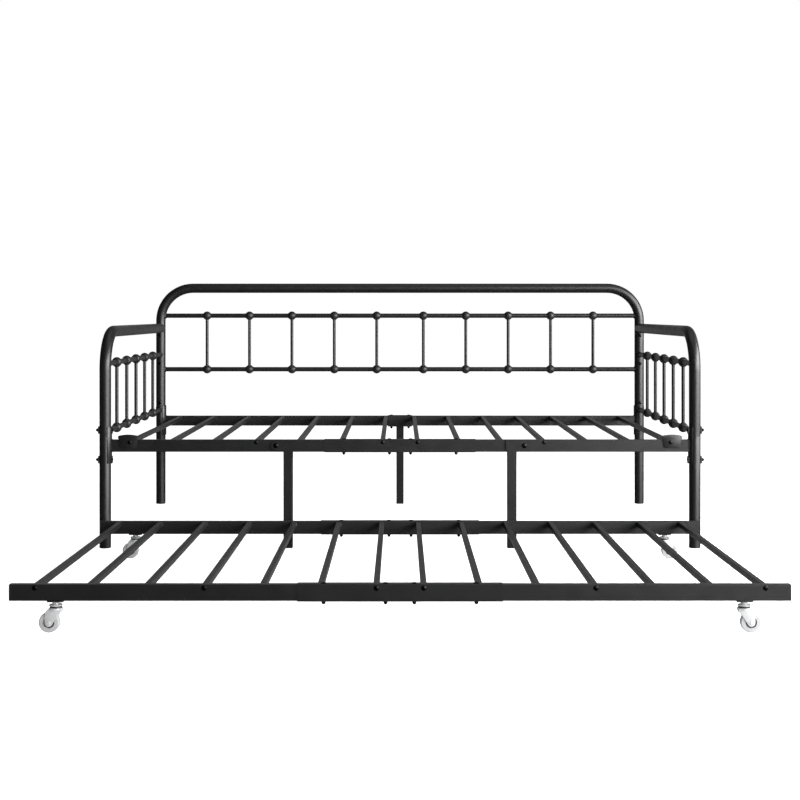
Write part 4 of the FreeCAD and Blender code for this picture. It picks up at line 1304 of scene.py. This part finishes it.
@dataclass
class Caster:
    """Swivelling wheel under a trundle rail's end.

    Shapes are made about the swivel axis on the floor, trailing along their own +X.
    """

    word: str
    side: int
    swivel: Vector
    trail: float = 0.0155
    wheel_r: float = 0.025
    half_w: float = 0.0085
    web_r: float = 0.0134
    cap_r: float = 0.0097
    hub_r: float = 0.0065
    bore_r: float = 0.00305
    pin_r: float = 0.003
    cheek_in: float = 0.010
    cheek_t: float = 0.0016
    crown_r: float = 0.0165
    crown_low: float = 0.0555
    crown_top: float = 0.0607
    boss_r: float = 0.0093
    rivet_r: float = 0.0048
    rivet_h: float = 0.0016
    ribs: int = 8

    def body(self, part: str) -> str:
        """Body of one of this caster's CAD nodes."""
        return body_of_node("caster_" + self.word + "_" + part)

    def stand(self) -> Matrix:
        """Matrix that puts the caster in its place, trailing outwards."""
        turn = Matrix.Rotation(0.0 if self.side > 0 else math.pi, 4, "Z")
        return Matrix.Translation((self.swivel.x, self.swivel.y, 0)) @ turn

    def at_axle(self) -> Matrix:
        """Matrix that lays a turned shape on the axle."""
        return self.stand() @ seated((self.trail, 0, self.wheel_r), Y_AXIS, X_AXIS)

    def wheel(self) -> None:
        """Tread with round shoulders and a mould line, a recessed ribbed web and a hub cap each side."""
        half, r = self.half_w, self.wheel_r
        shoulder = 0.003
        tread = [(self.web_r, -half + 0.0006), (self.web_r + 0.0006, -half)]
        tread += arc((r - shoulder, -half + shoulder), shoulder, -90, 0, 5)
        tread += [(r, -0.0003), (r - 0.0002, 0), (r, 0.0003)]
        tread += arc((r - shoulder, half - shoulder), shoulder, 0, 90, 5)
        tread += [(self.web_r + 0.0006, half), (self.web_r, half - 0.0006)]
        name = "caster_" + self.word
        piece = Piece(name + "_tread").add(Solid.turned(tread, 56, ring=True), self.at_axle())
        face = half - 0.0012
        cap = [(self.bore_r, 0.004), (self.cap_r - 0.001, 0.004), (self.cap_r, face - 0.0008),
               (self.cap_r - 0.0008, face), (self.hub_r + 0.001, face), (self.hub_r, half + 0.0008),
               (self.bore_r, half + 0.0008)]
        hub_cap = Solid.turned(cap, 40, ring=True)
        piece.add(hub_cap, self.at_axle(), self.at_axle() @ Matrix.Rotation(math.pi, 4, "X"))
        piece.put(GRAY_TREAD, Slot.WHEEL, self.body("wheel"), name + "_wheel")
        web = Solid.turned([(self.bore_r, -0.0045), (self.web_r + 0.0004, -0.0045),
                            (self.web_r + 0.0004, 0.0045), (self.bore_r, 0.0045)], 40, ring=True)
        rib = Solid.boxed((self.hub_r, -0.0006, -half + 0.002), (self.web_r, 0.0006, half - 0.002), 0.0003, 1)
        core = Piece(name + "_web").add(web, self.at_axle())
        turns = [Matrix.Rotation(FULL_TURN * i / self.ribs, 4, "Z") for i in range(self.ribs)]
        core.add(rib, *[self.at_axle() @ turn for turn in turns])
        core.put(DARK_CORE, Slot.WHEEL, self.body("wheel"))

    def cheek_outline(self) -> Profile:
        """Side of the fork: broad under the crown, raked back to a round end over the axle."""
        axle = (self.trail, self.wheel_r)
        top = self.crown_top - 0.0012
        return ([(-0.0152, top), (-0.0148, 0.0535), (-0.0136, 0.0505), (-0.0114, 0.0478), (-0.0085, 0.0455)]
                + arc(axle, self.boss_r, 214, 363, 14)
                + [(0.0245, 0.040), (0.0236, 0.048), (0.0214, 0.0545), (0.0165, top)])

    def fork(self) -> None:
        """Pressed fork: domed crown, two cheeks and a skirt that joins them in front."""
        low, top, r = self.crown_low, self.crown_top, self.crown_r
        crown = [(0.00505, low + 0.0008), (r - 0.0018, low + 0.0008), (r - 0.0012, low), (r, low + 0.0006),
                 (r, top - 0.0022)] + arc((r - 0.002, top - 0.002), 0.002, 10, 90, 4)
        crown += [(0.0105, top), (0.0095, top - 0.0008), (0.00505, top - 0.0008)]
        piece = Piece("caster_" + self.word + "_pressed_fork")
        piece.add(Solid.turned(crown, 40, ring=True), self.stand())
        cheek = Solid.plate(self.cheek_outline(), self.cheek_t, 0.0005, 2)
        for face in SIDES:
            y = self.cheek_in if face > 0 else -self.cheek_in - self.cheek_t
            piece.add(cheek, self.stand() @ Matrix.Translation((0, y, 0)))
        skirt_r = r - 0.0006
        section = [(skirt_r - self.cheek_t, 0.0505), (skirt_r - 0.0004, 0.050), (skirt_r, 0.0506),
                   (skirt_r, top - 0.0018), (skirt_r - self.cheek_t, top - 0.0018)]
        span = math.radians(96)
        skirt = Solid.turned(section, 14, ring=True, turn=span)
        piece.add(skirt, self.stand() @ Matrix.Rotation(math.pi - span / 2, 4, "Z"))
        piece.put(ZINC, Slot.ZINC, self.body("fork"), "caster_" + self.word + "_fork")

    def axle(self) -> None:
        """Axle riveted over a washer at both ends."""
        grip = self.cheek_in + self.cheek_t
        rivet = [(0, 0), (self.rivet_r + 0.0008, 0), (self.rivet_r + 0.0008, 0.0004), (self.rivet_r, 0.0005)]
        for i in range(1, 5):
            turn = math.radians(15 * i)
            rivet.append((self.rivet_r * math.cos(turn), 0.0005 + (self.rivet_h - 0.0005) * math.sin(turn)))
        rivet += [(self.rivet_r * 0.3, self.rivet_h), (self.rivet_r * 0.2, self.rivet_h - 0.0004),
                  (0, self.rivet_h - 0.0004)]
        head = Solid.turned(rivet, 24)
        pin = Solid.turned([(0, -grip), (self.pin_r, -grip), (self.pin_r, grip), (0, grip)], 16)
        piece = Piece("caster_" + self.word + "_axle_rivet").add(pin, self.at_axle())
        for face in SIDES:
            out = seated((0, 0, face * grip), face * Z_AXIS, X_AXIS)
            piece.add(head, self.at_axle() @ out)
        piece.put(ZINC, Slot.ZINC, self.body("axle"), "caster_" + self.word + "_axle")

    def build(self) -> None:
        """Build what turns and what swivels."""
        self.wheel()
        self.fork()
        self.axle()


@dataclass
class CasterSet:
    """The four casters with their fixed pads, plated stems and black bands of painted bearing-gap shade."""

    lines: Lines
    pad: tuple[float, float, float] = (0.040, 0.024, 0.003)
    neck_r: float = 0.008
    stem_r: float = 0.005
    stem_top: float = 0.0955
    hex_t: float = 0.0042
    pin_low: float = 0.054
    race_low: float = 0.061
    race_top: float = 0.068
    disc_t: float = 0.002
    disc_r: float = 0.0165
    # Radius of the black band that paints the bearing gap's shade.
    shade_band_r: float = 0.0145
    nut_flats: float = 0.014

    def places(self) -> list[tuple[str, int, Vector]]:
        """Name, side and swivel axis of each caster."""
        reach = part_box("caster_stems")[1].x - self.disc_r
        rows = zip(("front", "rear"), self.lines.trundle_ys)
        return [(row + "_" + word, side, Vector((side * reach, y, 0)))
                for row, y in rows for side, word in zip(SIDES, ("left", "right"))]

    def pads(self, spots: list[Matrix]) -> None:
        """Flat pads with rounded corners, welded under the rail."""
        length, width, thick = self.pad
        pad = Solid.boxed((-length / 2, -width / 2, self.lines.trundle_low - thick),
                          (length / 2, width / 2, self.lines.trundle_low))
        upright = [e for e in pad.mesh.edges if abs(e.verts[0].co.z - e.verts[1].co.z) > thick / 2]
        pad.rounded(0.004, 4, upright)
        rims = [e for e in pad.mesh.edges if e.calc_face_angle() > CREASE]
        pad.rounded(0.0006, 2, rims)
        Piece("caster_mount_pads").add(pad, *spots).put(
            SATIN_COAT, Slot.COAT, Body.TRUNDLE.value, "caster_pads")

    def stems(self, spots: list[Matrix]) -> None:
        """Plated stems: hexagon, neck, pressed race disc and the pin that holds the fork."""
        pad_low = self.lines.trundle_low - self.pad[2]
        disc_low = self.race_top - self.disc_t
        hex_low = pad_low - self.hex_t
        profile = [(0, self.pin_low), (0.007, self.pin_low), (0.007, self.pin_low + 0.0012),
                   (self.stem_r, self.pin_low + 0.0013),
                   (self.stem_r, self.race_low), (self.shade_band_r - 0.001, self.race_low),
                   (self.shade_band_r - 0.001, disc_low), (self.disc_r - 0.0006, disc_low - 0.0004),
                   (self.disc_r, disc_low + 0.0002), (self.disc_r, self.race_top - 0.0008),
                   (self.disc_r - 0.0008, self.race_top), (self.neck_r + 0.0015, self.race_top),
                   (self.neck_r, self.race_top + 0.0012), (self.neck_r, pad_low - 0.0001),
                   (self.stem_r, pad_low - 0.0001), (self.stem_r, self.stem_top), (0, self.stem_top)]
        nut = Solid.hexagon(self.nut_flats, hex_low, pad_low, 0.0006)
        Piece("caster_plated_stems").add(Solid.joined(Solid.turned(profile, 40), nut), *spots).put(
            ZINC, Slot.ZINC, Body.TRUNDLE.value, "caster_stems")

    def bearing_gap_shade(self, spots: list[Matrix]) -> None:
        """Black bands of painted shade, where the bearing gap under each race disc lies in shadow."""
        # Painted shade: a black band fills the shadowed gap between race disc and fork crown.
        low, top = self.race_low + 0.0001, self.race_top - self.disc_t - 0.0003
        band = [(self.shade_band_r - 0.0012, low), (self.shade_band_r - 0.0003, low), (self.shade_band_r, low + 0.0004),
                (self.shade_band_r - 0.0004, (low + top) / 2), (self.shade_band_r, top - 0.0004),
                (self.shade_band_r - 0.0003, top), (self.shade_band_r - 0.0012, top)]
        Piece("caster_bearing_gap_shade_bands").add(Solid.turned(band, 40, ring=True), *spots).put(
            BLACK_PLASTIC, Slot.PLASTIC, Body.TRUNDLE.value)

    def build(self) -> None:
        """Build the fixed parts, then each caster."""
        places = self.places()
        spots = [Matrix.Translation(swivel) for _, _, swivel in places]
        self.pads(spots)
        self.stems(spots)
        self.bearing_gap_shade(spots)
        for word, side, swivel in places:
            Caster(word, side, swivel).build()


# ---------------------------------------------------------------- studio


@dataclass(frozen=True)
class SoftBox:
    """Oblong diffused lamp aimed at the bed."""

    name: str
    place: tuple[float, float, float]
    aim: tuple[float, float, float]
    size: tuple[float, float]
    glow: float

    def hang(self) -> None:
        """Hang the lamp; glow is the brightness of its face."""
        lamp = bpy.data.lights.new(self.name, "AREA")
        lamp.shape = "RECTANGLE"
        lamp.size, lamp.size_y = self.size
        lamp.energy = self.glow * math.pi * self.size[0] * self.size[1]
        made = bpy.data.objects.new(self.name, lamp)
        made.location = self.place
        made.rotation_euler = (Vector(self.aim) - Vector(self.place)).to_track_quat("-Z", "Y").to_euler()
        bpy.context.scene.collection.objects.link(made)


@dataclass
class Studio:
    """White seamless studio with a level camera in front of the bed."""

    lines: Lines
    lens: float = 59.03
    sensor: float = 36.0
    stand_off: float = 4.344
    eye: float = 0.777
    shift: float = -0.10875
    floor_half: float = 40.0
    room_dim: float = 0.045
    backdrop_dim: float = 0.37
    boxes: tuple[SoftBox, ...] = (
        SoftBox("long_softbox", (3.6, -3.4, 1.6), (0.0, -2.9, 1.1), (7.8, 2.3), 17.5),
        SoftBox("overhead_softbox", (0.3, 0.2, 4.6), (0.0, 0.0, 0.3), (3.0, 3.0), 0.8),
    )

    def camera(self) -> None:
        """Level camera at head height of a seated person, lens dropped to take in the trundle."""
        data = bpy.data.cameras.new("studio_camera")
        data.lens = self.lens
        data.sensor_width = self.sensor
        data.shift_y = self.shift
        made = bpy.data.objects.new("studio_camera", data)
        made.location = (0, self.lines.front_y - self.stand_off, self.eye)
        made.rotation_euler = (math.radians(90), 0, 0)
        bpy.context.scene.collection.objects.link(made)
        bpy.context.scene.camera = made

    def floor(self) -> None:
        """Pale paper floor that doesn't mirror in the paint."""
        mesh = bmesh.new()
        bmesh.ops.create_grid(mesh, x_segments=1, y_segments=1, size=self.floor_half)
        data = bpy.data.meshes.new("studio_floor")
        mesh.to_mesh(data)
        mesh.free()
        data.materials.append(PAPER.material())
        made = bpy.data.objects.new("studio_floor", data)
        made.visible_glossy = False
        bpy.context.scene.collection.objects.link(made)

    def surroundings(self) -> None:
        """White to the eye; for the bed itself a dim room with a brighter backdrop."""
        world = bpy.data.worlds.new("studio_white")
        world.use_nodes = True
        bpy.context.scene.world = world
        nodes, links = world.node_tree.nodes, world.node_tree.links
        direction = nodes.new("ShaderNodeTexCoord").outputs["Generated"]
        split = nodes.new("ShaderNodeSeparateXYZ")
        links.new(direction, split.inputs[0])
        fall = nodes.new("ShaderNodeMapRange")
        for name, value in zip(("From Min", "From Max", "To Min", "To Max"),
                               (0.7, 0.95, self.room_dim, self.backdrop_dim)):
            fall.inputs[name].default_value = value
        links.new(split.outputs["Y"], fall.inputs["Value"])
        pick = nodes.new("ShaderNodeMix")
        links.new(nodes.new("ShaderNodeLightPath").outputs["Is Camera Ray"], pick.inputs["Factor"])
        links.new(fall.outputs["Result"], pick.inputs["A"])
        pick.inputs["B"].default_value = 1.0
        links.new(pick.outputs["Result"], nodes["Background"].inputs["Strength"])
        nodes["Background"].inputs["Color"].default_value = (1, 1, 1, 1)

    def build(self) -> None:
        """Set the studio up."""
        bpy.context.scene.view_settings.view_transform = "Standard"
        self.camera()
        self.floor()
        self.surroundings()
        for box in self.boxes:
            box.hang()
        log.info("studio: %d lamps", len(self.boxes))


def main() -> None:
    """Build the bed, sub-assembly by sub-assembly, and the studio round it."""
    logging.basicConfig(level=logging.INFO, format="%(name)s %(message)s")
    lines = Lines.read()
    Studio(lines).build()
    BackPanel(lines).build()
    SideArms(lines).build()
    FrontLegs(lines).build()
    PostJoints(lines).build()
    DeckFrame(lines).build()
    MattressGuard(lines).build()
    for word in ("left", "right"):
        FoldingLeg(lines, word).build()
    TrundleDeck(lines).build()
    CasterSet(lines).build()


if __name__ == "__main__":
    main()
